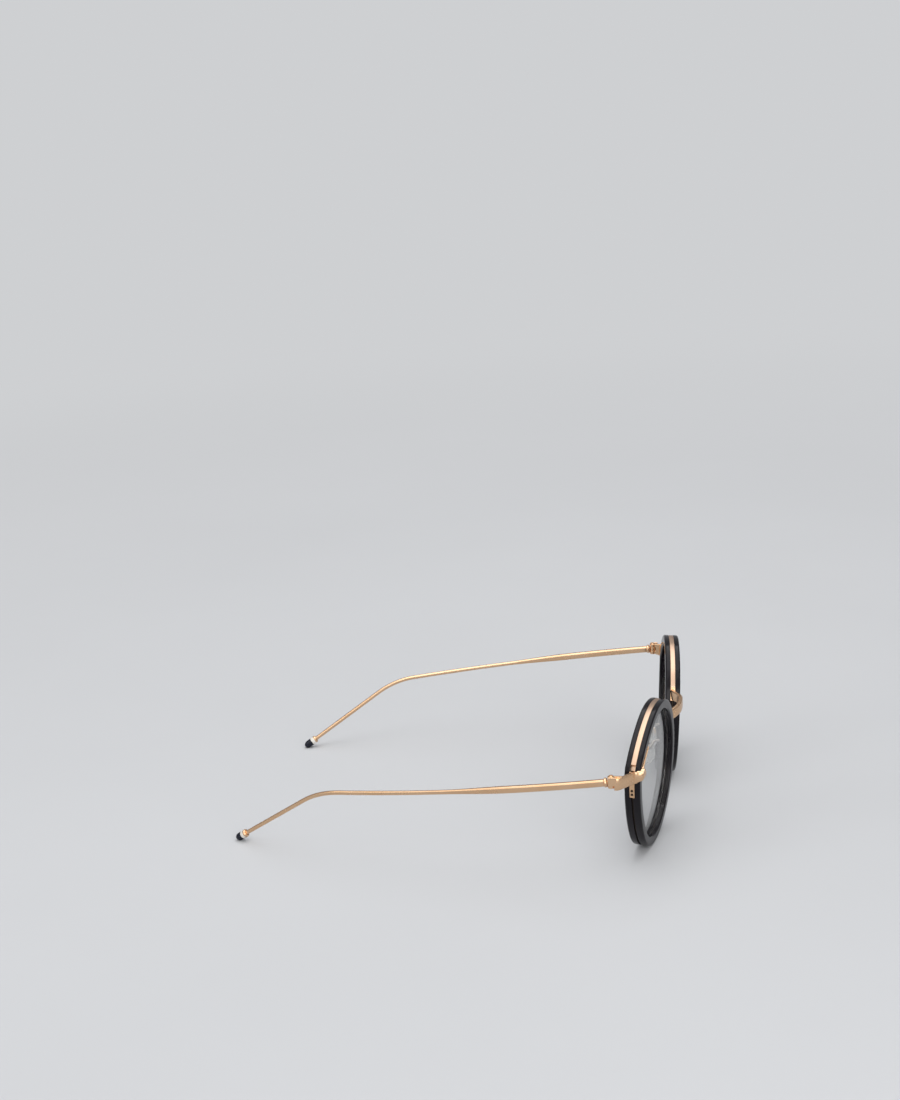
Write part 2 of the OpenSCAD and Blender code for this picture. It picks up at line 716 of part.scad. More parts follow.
cheek_end = pad_pin_z + lug_r;
box_out = lug_w / 2 + cheek_gap + cheek_t;
pad_screw_head = pad_pin_r * 0.8;
module pad_screw(side)
    color(gold) on_pad(side)
        translate([-box_out, 0, pad_pin_z]) rotate([0, 90, 0]) {
            cylinder(h = 2 * box_out, r = pad_pin_r, $fn = 24);
            translate([0, 0, 2 * box_out + fit]) cylinder(h = pad_screw_head, r = pad_pin_r * 1.8, $fn = 24);
            translate([0, 0, 2 * box_out - fit]) cylinder(h = 3 * fit, r = pad_pin_r, $fn = 24);
        }

// Pad arm: a root in the rim's seam, a looped wire and a box for the pad's lug
arm_root_v = pad_v + pad_len * 0.25;
arm_root_turn = nose_turn(arm_root_v);
arm_root_h = pad_wire_r * 6;
function pad_normal() = let (c = cos(pad_splay), s = sin(pad_splay), f = pad_flare)
    [-c * cos(f), s, -c * sin(f)];
function on_pad_point(z) = [pad_x, pad_y, pad_z] + z * pad_normal();
pad_arm_line = let (
        root = from_rim(on_rim(arm_root_turn), 0),
        out = from_rim(on_rim(arm_root_turn) - [3 * pad_wire_r, 0], 0),
        box = on_pad_point(box_back - cheek_t / 2)
    ) soft_path([
        root,
        out,
        [out[0] - pad_wire_r, half_t / 2, mix(out[2], box[2], 0.3)],
        on_pad_point(box_back - cheek_t - 2 * pad_wire_r),
        box
    ], pad_wire_r * 1.6, 4);

module pad_arm(side)
    color(gold) {
        both_sides(side) loft(pad_arm_line, [for (p = pad_arm_line) ring(pad_wire_r, 10)]);
        in_rim(side) follow(nose_turn(arm_root_v - arm_root_h / 2), nose_turn(arm_root_v + arm_root_h / 2))
            strip(-band_sink, web_sink - fit, core_t);
        on_pad(side) difference() {
            union() {
                for (s = [-1, 1])
                    translate([s * (box_out - cheek_t / 2) - cheek_t / 2, -lug_r, box_back - cheek_t])
                        cube([cheek_t, 2 * lug_r, cheek_end - box_back + cheek_t]);
                translate([-box_out, -lug_r, box_back - cheek_t]) cube([2 * box_out, 2 * lug_r, cheek_t]);
            }
            pad_bore(pad_pin_r + fit);
        }
    }

front_rim(RIGHT);  // front_rim_right
front_rim(LEFT);  // front_rim_left
rear_rim(RIGHT);  // rear_rim_right
rear_rim(LEFT);  // rear_rim_left
eyewire(RIGHT);  // eyewire_right
eyewire(LEFT);  // eyewire_left
brow_band(RIGHT);  // brow_band_right
brow_band(LEFT);  // brow_band_left
lens(RIGHT);  // lens_right
lens(LEFT);  // lens_left
end_piece(RIGHT);  // end_piece_right
end_piece(LEFT);  // end_piece_left
rim_lock(RIGHT);  // rim_lock_right
rim_lock(LEFT);  // rim_lock_left
lock_screws(RIGHT);  // lock_screws_right
lock_screws(LEFT);  // lock_screws_left
front_hinge(RIGHT);  // front_hinge_right
front_hinge(LEFT);  // front_hinge_left
hinge_screw(RIGHT);  // hinge_screw_right
hinge_screw(LEFT);  // hinge_screw_left
bridge();
pad_arm(RIGHT);  // pad_arm_right
pad_arm(LEFT);  // pad_arm_left
pad_screw(RIGHT);  // pad_screw_right
pad_screw(LEFT);  // pad_screw_left
nose_pad(RIGHT);  // nose_pad_right
nose_pad(LEFT);  // nose_pad_left
pad_insert(RIGHT);  // pad_insert_right
pad_insert(LEFT);  // pad_insert_left
temple_hinge(RIGHT);  // temple_hinge_right
temple_hinge(LEFT);  // temple_hinge_left
temple_collar(RIGHT);  // temple_collar_right
temple_collar(LEFT);  // temple_collar_left
temple_arm(RIGHT);  // temple_arm_right
temple_arm(LEFT);  // temple_arm_left
tip_ferrule(RIGHT);  // tip_ferrule_right
tip_ferrule(LEFT);  // tip_ferrule_left
tip_ring(RIGHT);  // tip_ring_right
tip_ring(LEFT);  // tip_ring_left
tip_cap(RIGHT);  // tip_cap_right
tip_cap(LEFT);  // tip_cap_left
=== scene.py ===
import json
import math

import bmesh
import bpy
from mathutils import Matrix, Vector

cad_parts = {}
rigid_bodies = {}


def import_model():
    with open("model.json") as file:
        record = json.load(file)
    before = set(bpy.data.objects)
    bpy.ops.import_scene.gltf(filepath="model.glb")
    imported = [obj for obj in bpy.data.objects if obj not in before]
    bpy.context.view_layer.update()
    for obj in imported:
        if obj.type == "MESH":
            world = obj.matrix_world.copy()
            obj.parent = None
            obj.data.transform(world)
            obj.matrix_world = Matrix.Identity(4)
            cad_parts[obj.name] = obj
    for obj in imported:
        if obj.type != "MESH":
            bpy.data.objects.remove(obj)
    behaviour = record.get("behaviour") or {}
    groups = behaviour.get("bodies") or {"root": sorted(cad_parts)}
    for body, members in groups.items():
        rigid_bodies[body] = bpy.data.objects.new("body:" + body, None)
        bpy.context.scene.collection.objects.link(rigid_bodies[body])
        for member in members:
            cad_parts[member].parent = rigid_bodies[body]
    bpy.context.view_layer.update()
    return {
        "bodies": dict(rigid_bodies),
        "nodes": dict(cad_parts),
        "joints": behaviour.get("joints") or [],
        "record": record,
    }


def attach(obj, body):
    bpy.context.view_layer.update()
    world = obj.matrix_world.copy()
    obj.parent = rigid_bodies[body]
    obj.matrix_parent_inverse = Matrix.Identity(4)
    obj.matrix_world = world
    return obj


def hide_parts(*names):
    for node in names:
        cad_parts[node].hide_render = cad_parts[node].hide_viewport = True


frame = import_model()
print("frame loaded:", len(frame["nodes"]), "nodes")


def addObject(name, data):
    obj = bpy.data.objects.new(name, data)
    bpy.context.scene.collection.objects.link(obj)
    return obj


# The camera stands where the photograph's did
cameraView = {
    "place": (-0.63766, -0.06748, 0.27293),
    "yaw": 12.46,
    "pitch": -15.22,
    "roll": -3.31,
    "lens": 61.61,
    "sensor": 36,
    "near": 0.01,
    "far": 20,
}


def addCamera(view):
    yaw, pitch, roll = (math.radians(view[k]) for k in ("yaw", "pitch", "roll"))
    ahead = Vector((math.cos(pitch) * math.cos(yaw), math.cos(pitch) * math.sin(yaw), math.sin(pitch)))
    right = ahead.cross(Vector((0, 0, 1))).normalized()
    up = right.cross(ahead)
    right, up = (
        right * math.cos(roll) + up * math.sin(roll),
        up * math.cos(roll) - right * math.sin(roll),
    )
    data = bpy.data.cameras.new("camera")
    data.lens = view["lens"]
    data.sensor_width = view["sensor"]
    data.clip_start = view["near"]
    data.clip_end = view["far"]
    camera = addObject("camera", data)
    camera.matrix_world = Matrix((right, up, -ahead)).transposed().to_4x4()
    camera.location = view["place"]
    bpy.context.scene.camera = camera


addCamera(cameraView)
print("camera placed")


# Node trees, and the shader groups that several finishes share

def newGroup(name, inputs, outputs, kind="ShaderNodeTree"):
    group = bpy.data.node_groups.new(name, kind)
    for label, socketKind, value in inputs:
        socket = group.interface.new_socket(label, in_out="INPUT", socket_type=f"NodeSocket{socketKind}")
        if value is not None:
            socket.default_value = value
    for label, socketKind in outputs:
        group.interface.new_socket(label, in_out="OUTPUT", socket_type=f"NodeSocket{socketKind}")
    return group, group.nodes.new("NodeGroupInput").outputs, group.nodes.new("NodeGroupOutput").inputs


def wire(tree, start, end):
    tree.links.new(start, end)


def addNode(tree, kind, links=(), **values):
    node = tree.nodes.new(kind)
    for key, value in values.items():
        setattr(node, key, value)
    for socket, value in links:
        if isinstance(value, bpy.types.NodeSocket):
            tree.links.new(value, node.inputs[socket])
        else:
            node.inputs[socket].default_value = value
    return node


def addMath(tree, operation, *values):
    return addNode(tree, "ShaderNodeMath", enumerate(values), operation=operation).outputs[0]


def addVectorMath(tree, operation, *values, out="Vector"):
    return addNode(tree, "ShaderNodeVectorMath", enumerate(values), operation=operation).outputs[out]


def addScaled(tree, vector, amount):
    node = addNode(tree, "ShaderNodeVectorMath", [(0, vector), ("Scale", amount)], operation="SCALE")
    return node.outputs["Vector"]


def addRange(tree, value, low, high, **values):
    links = [("Value", value), ("From Min", low), ("From Max", high)]
    return addNode(tree, "ShaderNodeMapRange", links, **values).outputs["Result"]


def makeHandlingGroup():
    # Faint smears and fine hairlines that gloss picks up in use
    group, source, sink = newGroup(
        "handlingMarks",
        [("Smear Size", "Float", 90.0), ("Smear", "Float", 0.05),
         ("Base Roughness", "Float", 0.1), ("Hairline Size", "Float", 900.0),
         ("Hairline", "Float", 0.1)],
        [("Roughness", "Float"), ("Height", "Float")],
    )
    coords = addNode(group, "ShaderNodeTexCoord").outputs["Object"]
    smear = addNode(group, "ShaderNodeTexNoise", [
        ("Vector", coords), ("Scale", source["Smear Size"]), ("Detail", 4.0), ("Roughness", 0.6)])
    shaped = addRange(group, smear.outputs["Fac"], 0.38, 0.68)
    amount = addMath(group, "MULTIPLY", shaped, source["Smear"])
    wire(group, addMath(group, "ADD", amount, source["Base Roughness"]), sink["Roughness"])
    stretch = addNode(group, "ShaderNodeMapping", [
        ("Vector", coords), ("Scale", (1.0, 0.12, 1.0)), ("Rotation", (0.4, 0.2, 0.9))])
    hair = addNode(group, "ShaderNodeTexNoise", [
        ("Vector", stretch.outputs["Vector"]), ("Scale", source["Hairline Size"]),
        ("Detail", 2.0), ("Roughness", 0.5)])
    lines = addMath(group, "MULTIPLY", hair.outputs["Fac"], source["Hairline"])
    wire(group, lines, sink["Height"])
    return group


def makeShadeGroup():
    # A slow drift between two colours, with a finer one laid over it
    group, source, sink = newGroup(
        "slowShade",
        [("First", "Color", (1, 1, 1, 1)), ("Second", "Color", (0.5, 0.5, 0.5, 1)),
         ("Size", "Float", 60.0), ("Fine Size", "Float", 700.0),
         ("Fine", "Float", 0.2)],
        [("Color", "Color")],
    )
    coords = addNode(group, "ShaderNodeTexCoord").outputs["Object"]
    slow, fine = (
        addNode(group, "ShaderNodeTexNoise", [
            ("Vector", coords), ("Scale", source[label]), ("Detail", detail)]).outputs["Fac"]
        for label, detail in (("Size", 3.0), ("Fine Size", 2.0)))
    blend = addNode(group, "ShaderNodeMix", [("Factor", source["Fine"]), ("A", slow), ("B", fine)])
    spread = addRange(group, blend.outputs["Result"], 0.35, 0.65)
    tint = addNode(group, "ShaderNodeMix", [
        ("Factor", spread), (6, source["First"]), (7, source["Second"])], data_type="RGBA")
    wire(group, tint.outputs[2], sink["Color"])
    return group


handlingMarks = makeHandlingGroup()
slowShade = makeShadeGroup()


def newMaterial(name):
    material = bpy.data.materials.new(name)
    material.use_nodes = True
    tree = material.node_tree
    return material, tree, next(n for n in tree.nodes if n.type == "BSDF_PRINCIPLED")


def makeFinish(name, look):
    # A colour drift, worn gloss and a fine relief, with the shader in the material itself
    material, tree, shader = newMaterial(name)
    shade = addNode(tree, "ShaderNodeGroup", [
        ("First", (*look["first"], 1)), ("Second", (*look["second"], 1)), ("Size", look["shadeSize"]),
        ("Fine Size", look["fineSize"]), ("Fine", look["fine"])], node_tree=slowShade)
    marks = addNode(tree, "ShaderNodeGroup", [
        ("Smear Size", look["smearSize"]), ("Smear", look["smear"]), ("Base Roughness", look["roughness"]),
        ("Hairline Size", look["hairlineSize"]), ("Hairline", look["hairline"])], node_tree=handlingMarks)
    relief = addNode(tree, "ShaderNodeBump", [
        ("Strength", look["relief"]), ("Distance", 0.00002), ("Height", marks.outputs["Height"])])
    wire(tree, shade.outputs["Color"], shader.inputs["Base Color"])
    wire(tree, marks.outputs["Roughness"], shader.inputs["Roughness"])
    wire(tree, relief.outputs["Normal"], shader.inputs["Normal"])
    for socket, value in look["sockets"].items():
        shader.inputs[socket].default_value = value
    return material


# Marks and drift that two finishes share
brushed = {"shadeSize": 110, "fineSize": 1500, "fine": 0.4, "smearSize": 240,
           "hairlineSize": 3000, "hairline": 0.8, "relief": 0.08}
enamel = {"shadeSize": 500, "fineSize": 3000, "fine": 0.3, "smearSize": 400,
          "hairlineSize": 2600, "hairline": 0.4, "relief": 0.05}
finishes = {
    "acetate": {
        "first": (0.005, 0.0044, 0.0058), "second": (0.0095, 0.0075, 0.0105),
        "shadeSize": 70, "fineSize": 900, "fine": 0.25,
        "roughness": 0.1, "smearSize": 160, "smear": 0.05,
        "hairlineSize": 1400, "hairline": 0.5, "relief": 0.03,
        "sockets": {"IOR": 1.49, "Specular IOR Level": 0.24},
    },
    "gold": {
        "first": (0.93, 0.63, 0.40), "second": (0.87, 0.56, 0.33),
        "shadeSize": 90, "fineSize": 1200, "fine": 0.3,
        "roughness": 0.23, "smearSize": 220, "smear": 0.06,
        "hairlineSize": 2200, "hairline": 0.6, "relief": 0.05,
        "sockets": {"Metallic": 1.0},
    },
    "padWire": {
        "first": (0.56, 0.52, 0.48), "second": (0.48, 0.44, 0.41),
        "shadeSize": 300, "fineSize": 2000, "fine": 0.3,
        "roughness": 0.34, "smearSize": 300, "smear": 0.08,
        "hairlineSize": 3000, "hairline": 0.6, "relief": 0.06,
        "sockets": {"Metallic": 1.0},
    },
    "bandGold": {
        **brushed, "first": (0.70, 0.50, 0.365), "second": (0.66, 0.455, 0.325),
        "roughness": 0.34, "smear": 0.08, "sockets": {"Metallic": 1.0},
    },
    # Painted shade: the metal core takes this dark finish so that the seam between the acetate layers and
    # the rim's inner wall, where the core shows, read dark as in shade. The lock screws use it too.
    "coreDark": {
        **brushed, "first": (0.045, 0.032, 0.022), "second": (0.03, 0.02, 0.014),
        "roughness": 0.3, "smear": 0.1, "sockets": {"Metallic": 0.6},
    },
    "navy": {
        **enamel, "first": (0.004, 0.006, 0.014), "second": (0.007, 0.009, 0.020),
        "roughness": 0.1, "smear": 0.08, "sockets": {"Specular IOR Level": 0.35},
    },
    "ivory": {
        **enamel, "first": (0.80, 0.78, 0.73), "second": (0.74, 0.71, 0.65),
        "roughness": 0.12, "smear": 0.1, "sockets": {"Coat Weight": 0.5, "Coat Roughness": 0.05},
    },
    "silicone": {
        "first": (0.93, 0.93, 0.91), "second": (0.89, 0.88, 0.84),
        "shadeSize": 200, "fineSize": 1500, "fine": 0.3,
        "roughness": 0.16, "smearSize": 300, "smear": 0.1,
        "hairlineSize": 1500, "hairline": 0.4, "relief": 0.05,
        "sockets": {"IOR": 1.42, "Transmission Weight": 0.9},
    },
    "lens": {
        "first": (0.985, 0.99, 0.988), "second": (0.978, 0.986, 0.983),
        "shadeSize": 40, "fineSize": 400, "fine": 0.1,
        "roughness": 0.0, "smearSize": 60, "smear": 0.0,
        "hairlineSize": 900, "hairline": 0.0, "relief": 0.0,
        "sockets": {"IOR": 1.5, "Transmission Weight": 1.0},
    },
}
materials = {name: makeFinish(name, look) for name, look in finishes.items()}
print("finishes made:", ", ".join(materials))


# The rims' outline: eight arcs that run into each other. Sizes here are in millimetres.

rim = {
    "size": 52, "cornerRadius": 4.5, "noseGap": 20, "faceWidth": 3.3, "thickness": 5.4,
    "edgeCut": 0.4, "lean": 3.7, "wrap": 7.8, "coreThickness": 0.6, "railThickness": 1.7,
    "railDepth": 1.3, "grooveDepth": 0.65, "webSink": 0.7, "bandWidth": 1.75, "bandDepth": 1.6,
    "bandSink": 0.12, "fit": 0.02, "inlay": 0.3, "polish": 0.3,
}
arcTurns = [-26, 22, 47, 95, 129, 210, 253, 313, 334]
arcShares = [0.52, 0.86, 0, 0, 0.43, 0.5, 0, 0.39]


def heading(turn):
    return Vector((math.sin(math.radians(turn)), math.cos(math.radians(turn))))


def solveArcs():
    radii = [rim["cornerRadius"] if i == 2 else s * rim["size"] for i, s in enumerate(arcShares)]
    steps = [heading(arcTurns[i + 1]) - heading(arcTurns[i]) for i in range(8)]
    gap = sum((radii[i] * steps[i] for i in range(8)), Vector((0, 0)))
    side, nose = steps[3], steps[6]
    cross = side.x * nose.y - side.y * nose.x
    radii[3] = (nose.x * gap.y - nose.y * gap.x) / cross
    radii[6] = (side.y * gap.x - side.x * gap.y) / cross
    centres = [Vector((0, 0))]
    for i in range(1, 8):
        centres.append(centres[-1] + (radii[i - 1] - radii[i]) * heading(arcTurns[i]))
    height = centres[0].y + radii[0] - centres[4].y + radii[4]
    shift = Vector((-0.023 * rim["size"], height / 2 - radii[0]))
    return radii, [c + shift for c in centres], height


arcRadii, arcCentres, rimHeight = solveArcs()


def onRimIndex(turn):
    while turn < arcTurns[0]:
        turn += 360
    while turn > arcTurns[8]:
        turn -= 360
    return next(k for k in range(8) if turn <= arcTurns[k + 1] or k == 7)


def onRim(turn, depth=0.0):
    i = onRimIndex(turn)
    return arcCentres[i] + (arcRadii[i] - depth) * heading(turn)


halfThick = rim["thickness"] / 2
wrapTurn, leanTurn = math.radians(rim["wrap"]), math.radians(rim["lean"])
rimReach = onRim(90).x
rimX = rim["noseGap"] / 2 - onRim(270).x * math.cos(wrapTurn)
leanFoot = math.hypot(math.cos(leanTurn), math.sin(wrapTurn) * math.sin(leanTurn))
footLow = (arcCentres[4].x * math.sin(wrapTurn) * math.sin(leanTurn)
           + arcCentres[4].y * math.cos(leanTurn) - arcRadii[4] * leanFoot)
rimZ = (halfThick - rim["edgeCut"]) * math.cos(wrapTurn) * math.sin(leanTurn) - footLow


def plan(u, w):
    return (rimX + u * math.cos(wrapTurn) + w * math.sin(wrapTurn),
            u * math.sin(wrapTurn) - w * math.cos(wrapTurn))


def leaned(p, v):
    return Vector((p[0], p[1] * math.cos(leanTurn) - v * math.sin(leanTurn),
                   rimZ + p[1] * math.sin(leanTurn) + v * math.cos(leanTurn)))


def fromRim(p, w):
    return leaned(plan(p[0], w), p[1])


rimFront = fromRim((0, 0), 1) - fromRim((0, 0), 0)


def outward(turn):
    return fromRim(heading(turn), 0) - fromRim((0, 0), 0)


def turnOn(arc, v):
    # The angle at which an arc is at a height
    return math.degrees(math.acos((v - arcCentres[arc].y) / arcRadii[arc]))


def cornerTurn(v):
    return turnOn(2, v)


def sideTurn(v):
    return turnOn(3, v)


def noseTurn(v):
    return -turnOn(6, v)


# Sections

def rounded(corners, radii, steps):
    # A closed outline with a small arc at each corner
    points = []
    count = len(corners)
    for i in range(count):
        p, toA, toB = Vector(corners[i]), Vector(corners[i - 1]), Vector(corners[(i + 1) % count])
        toA, toB = toA - p, toB - p
        r = radii[i] if isinstance(radii, (list, tuple)) else radii
        half = math.acos(max(-1, min(1, toA.normalized().dot(toB.normalized())))) / 2
        if r <= 0 or min(toA.length, toB.length) < 1e-6 or abs(half - math.pi / 2) < 1e-3:
            points += [p.copy() for _ in range(steps + 1)]
            continue
        cut = min(r / math.tan(half), toA.length * 0.48, toB.length * 0.48)
        toA.normalize()
        toB.normalize()
        centre = p + (toA + toB).normalized() * (cut / math.cos(half))
        arm = p + toA * cut - centre
        bend = arm.angle_signed(p + toB * cut - centre)
        for k in range(steps + 1):
            spun = arm.copy()
            spun.rotate(Matrix.Rotation(-bend * k / steps, 2))
            points.append(centre + spun)
    return points


def boxCorners(w, h, cut):
    a, b = w / 2, h / 2
    return [(a, b - cut), (a - cut, b), (cut - a, b), (-a, b - cut),
            (-a, cut - b), (cut - a, -b), (a - cut, -b), (a, cut - b)]


# The sweep: a Geometry Nodes tree that runs one or two sections along a path

def makeSweepTree():
    tree, source, sink = newGroup(
        "sectionSweep",
        [("Geometry", "Geometry", None),
         ("Path Points", "Int", 2), ("Section Points", "Int", 4),
         ("First Section", "Object", None), ("Second Section", "Object", None),
         ("Section Centre", "Vector", (0, 0, 0)), ("Crease Angle", "Float", 0.6),
         ("Surface", "Material", None)],
        [("Geometry", "Geometry")],
        "GeometryNodeTree",
    )
    path, centre = source["Geometry"], source["Section Centre"]
    rows = addMath(tree, "ADD", source["Section Points"], 1.0)
    grid = addNode(tree, "GeometryNodeMeshGrid", [
        ("Vertices X", source["Path Points"]), ("Vertices Y", rows)])
    # Each point of the grid finds its station on the path and its place in the section
    index = addNode(tree, "GeometryNodeInputIndex").outputs[0]
    station = addMath(tree, "FLOOR", addMath(tree, "DIVIDE", addMath(tree, "ADD", index, 0.5), rows))
    inRow = addMath(tree, "SUBTRACT", index, addMath(tree, "MULTIPLY", station, rows))
    wrapped = addMath(tree, "MODULO", inRow, source["Section Points"])

    def sample(geometry, at, field, kind="FLOAT_VECTOR"):
        return addNode(tree, "GeometryNodeSampleIndex", [
            ("Geometry", geometry), ("Index", at), ("Value", field)],
            data_type=kind, domain="POINT").outputs["Value"]

    def onPath(name, kind="FLOAT_VECTOR"):
        field = addNode(tree, "GeometryNodeInputNamedAttribute", [("Name", name)], data_type=kind)
        return sample(path, station, field.outputs["Attribute"], kind)

    where = addNode(tree, "GeometryNodeInputPosition").outputs[0]
    shapes = []
    for label in ("First Section", "Second Section"):
        info = addNode(tree, "GeometryNodeObjectInfo", [("Object", source[label])])
        shapes.append(sample(info.outputs["Geometry"], wrapped, where))
    mixed = addNode(tree, "ShaderNodeMix", [
        (0, onPath("blend", "FLOAT")), (4, shapes[0]), (5, shapes[1])], data_type="VECTOR")
    off = addScaled(tree, addVectorMath(tree, "SUBTRACT", mixed.outputs[1], centre), onPath("size", "FLOAT"))
    parts = addNode(tree, "ShaderNodeSeparateXYZ", [(0, addVectorMath(tree, "ADD", off, centre))])
    total = sample(path, station, where)
    for name, axis in (("sideWay", "X"), ("upWay", "Y")):
        total = addVectorMath(tree, "ADD", total, addScaled(tree, onPath(name), parts.outputs[axis]))
    moved = addNode(tree, "GeometryNodeSetPosition", [
        ("Geometry", grid.outputs["Mesh"]), ("Position", total)])
    joined = addNode(tree, "GeometryNodeMergeByDistance", [
        ("Geometry", moved.outputs["Geometry"]), ("Distance", 0.0002)])
    smooth = addNode(tree, "GeometryNodeSetShadeSmooth", [("Geometry", joined.outputs["Geometry"])])
    angle = addNode(tree, "GeometryNodeInputMeshEdgeAngle").outputs["Unsigned Angle"]
    sharp = addNode(tree, "FunctionNodeCompare", [
        (0, angle), (1, source["Crease Angle"])], data_type="FLOAT", operation="GREATER_THAN")
    creased = addNode(tree, "GeometryNodeSetShadeSmooth", [
        ("Geometry", smooth.outputs["Geometry"]), ("Selection", sharp.outputs[0]),
        ("Shade Smooth", False)], domain="EDGE")
    surface = addNode(tree, "GeometryNodeSetMaterial", [
        ("Geometry", creased.outputs["Geometry"]), ("Material", source["Surface"])])
    wire(tree, surface.outputs["Geometry"], sink["Geometry"])
    return tree


sweepTree = makeSweepTree()


def runTree(obj, tree, values):
    # Puts a Geometry Nodes tree on an object, with its inputs by name
    modifier = obj.modifiers.new(tree.name, "NODES")
    modifier.node_group = tree
    for socket in tree.interface.items_tree:
        if socket.item_type == "SOCKET" and socket.in_out == "INPUT" and socket.name in values:
            modifier[socket.identifier] = values[socket.name]


def pointObject(name, points):
    mesh = bpy.data.meshes.new(name)
    mesh.from_pydata([(*p, 0)[:3] for p in points], [], [])
    return addObject(name, mesh)


def addAttribute(obj, name, kind, values):
    attribute = obj.data.attributes.new(name, kind, "POINT")
    for item, value in zip(attribute.data, values):
        setattr(item, "value" if kind == "FLOAT" else "vector", value)


def takeResult(obj, extra=()):
    # The evaluated tree as a plain mesh, without its helpers
    bpy.context.view_layer.update()
    graph = bpy.context.evaluated_depsgraph_get()
    mesh = bpy.data.meshes.new_from_object(obj.evaluated_get(graph))
    for helper in (obj, *extra):
        bpy.data.objects.remove(helper)
    return mesh


def sweep(stations, first, second=None, centre=(0, 0), crease=35, material="gold"):
    # A station is (place, side way, up way, blend between sections, size)
    path = pointObject("path", [s[0] for s in stations])
    for column, (key, kind) in enumerate((("sideWay", "FLOAT_VECTOR"), ("upWay", "FLOAT_VECTOR"),
                                          ("blend", "FLOAT"), ("size", "FLOAT")), 1):
        addAttribute(path, key, kind, [s[column] for s in stations])
    a = pointObject("sectionA", first)
    b = pointObject("sectionB", second or first)
    runTree(path, sweepTree, {
        "Path Points": len(stations), "Section Points": len(first),
        "First Section": a, "Second Section": b, "Section Centre": (*centre, 0.0),
        "Crease Angle": math.radians(crease), "Surface": materials[material]})
    return takeResult(path, (a, b))


def fixMesh(mesh, crease):
    form = bmesh.new()
    form.from_mesh(mesh)
    bmesh.ops.remove_doubles(form, verts=form.verts, dist=1e-4)
    bmesh.ops.dissolve_degenerate(form, dist=1e-5, edges=form.edges)
    bmesh.ops.recalc_face_normals(form, faces=form.faces)
    for face in form.faces:
        face.smooth = True
    for edge in form.edges:
        edge.smooth = len(edge.link_faces) == 2 and edge.calc_face_angle(0) < math.radians(crease)
    form.to_mesh(mesh)
    form.free()
    return mesh


def newMesh(form, crease=30):
    mesh = bpy.data.meshes.new("piece")
    form.to_mesh(mesh)
    form.free()
    return fixMesh(mesh, crease)


def bridgeRings(form, rings):
    for a, b in zip(rings, rings[1:]):
        for j in range(len(a)):
            k = (j + 1) % len(a)
            form.faces.new((a[j], a[k], b[k], b[j]))


def fanRing(form, ring, pole):
    for j in range(len(ring)):
        form.faces.new((pole, ring[j], ring[(j + 1) % len(ring)]))


def joinMeshes(meshes):
    form = bmesh.new()
    for mesh in meshes:
        form.from_mesh(mesh)
    out = bpy.data.meshes.new("joined")
    form.to_mesh(out)
    form.free()
    for mesh in meshes:
        bpy.data.meshes.remove(mesh)
    return out


def mirrorMesh(mesh):
    mesh.transform(Matrix.Diagonal((-1, 1, 1, 1)))
    mesh.flip_normals()


def place(name, mesh, body, nodes, material, mirror=False):
    # From millimetres to the row frame, mirrored for the right side
    if mirror:
        mirrorMesh(mesh)
    mesh.transform(Matrix.Scale(0.001, 4))
    mesh.name = name
    mesh.materials.clear()
    mesh.materials.append(materials[material])
    obj = addObject(name, mesh)
    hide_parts(*nodes)
    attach(obj, body)


def placePair(name, mesh, body, node, material):
    # The same form on both sides: made once for the left and mirrored for the right
    for side in ("right", "left"):
        place(f"{name}.{side}", mesh.copy(), body if body == "front" else f"{body}_{side}",
              [f"{node}_{side}"], material, side == "right")


tightRadius, perRadian = 3, 57.3
joinGap = 1e-6  # degrees between the two stations where the section changes


def rimStations(fromTurn, toTurn, step, marks=()):
    # Stations along the outline. marks are (from, to) where the second section is used.
    turns = {fromTurn, toTurn}
    for lap in (-360, 0, 360):
        turns |= {t + lap for t in arcTurns if fromTurn < t + lap < toTurn}
    turn = fromTurn
    while turn < toTurn:
        turn += step / max(arcRadii[onRimIndex(turn)], tightRadius) * perRadian
        turns.add(min(turn, toTurn))
    for start, end in marks:
        turns = {t for t in turns if abs(t - start) > 0.02 and abs(t - end) > 0.02}
    rows = [(t, any(a < t < b for a, b in marks)) for t in turns]
    for start, end in marks:
        rows += [(start - joinGap, False), (start + joinGap, True),
                 (end - joinGap, True), (end + joinGap, False)]
    return [[fromRim(onRim(t), 0), outward(t), rimFront, float(marked), 1.0] for t, marked in sorted(rows)]


def capped(stations, cut):
    # Closes both ends, with a small softened rim
    out = []
    for end, row in ((stations[0], stations[1]), (stations[-1], stations[-2])):
        inward = (row[0] - end[0]).normalized() * cut
        out.append([[end[0] + inward * depth, *end[1:4], size]
                    for depth, size in ((0, 0.0), (0, 0.9), (0.3, 0.97), (1, 1.0))])
    return out[0] + stations[1:-1] + out[1][::-1]


# Acetate layers

def layerSections():
    fit, face, web = rim["fit"], rim["faceWidth"], rim["faceWidth"] - rim["railDepth"]
    cut, core, rail = rim["edgeCut"], rim["coreThickness"] / 2, rim["railThickness"] / 2
    channel, wall = rim["bandDepth"] + fit, rim["bandWidth"] / 2 + fit
    tail = [(cut - face, halfThick), (-face, halfThick - cut), (-face, rail + fit),
            (fit - web, rail + fit), (fit - web, core)]
    plain = [(0, core), (0, halfThick - cut), (-cut, halfThick), *tail,
             (-channel, core), (-channel + 0.01, core)]
    cutOut = [(0, wall), (0, halfThick - cut), (-cut, halfThick), *tail,
              (-channel, core), (-channel, wall)]
    polish = rim["polish"]
    radii = [0.14, polish * 1.6, polish * 1.6, polish * 1.6, polish * 1.6, 0.12, 0, 0, 0, 0]
    return rounded(plain, radii, 5), rounded(cutOut, radii, 5)


strap = {"height": 4.1, "thickness": 1.0, "topShare": 0.4, "riseShare": 1.3, "bulge": 0.25,
         "camber": 0.34, "camberSteps": 8}
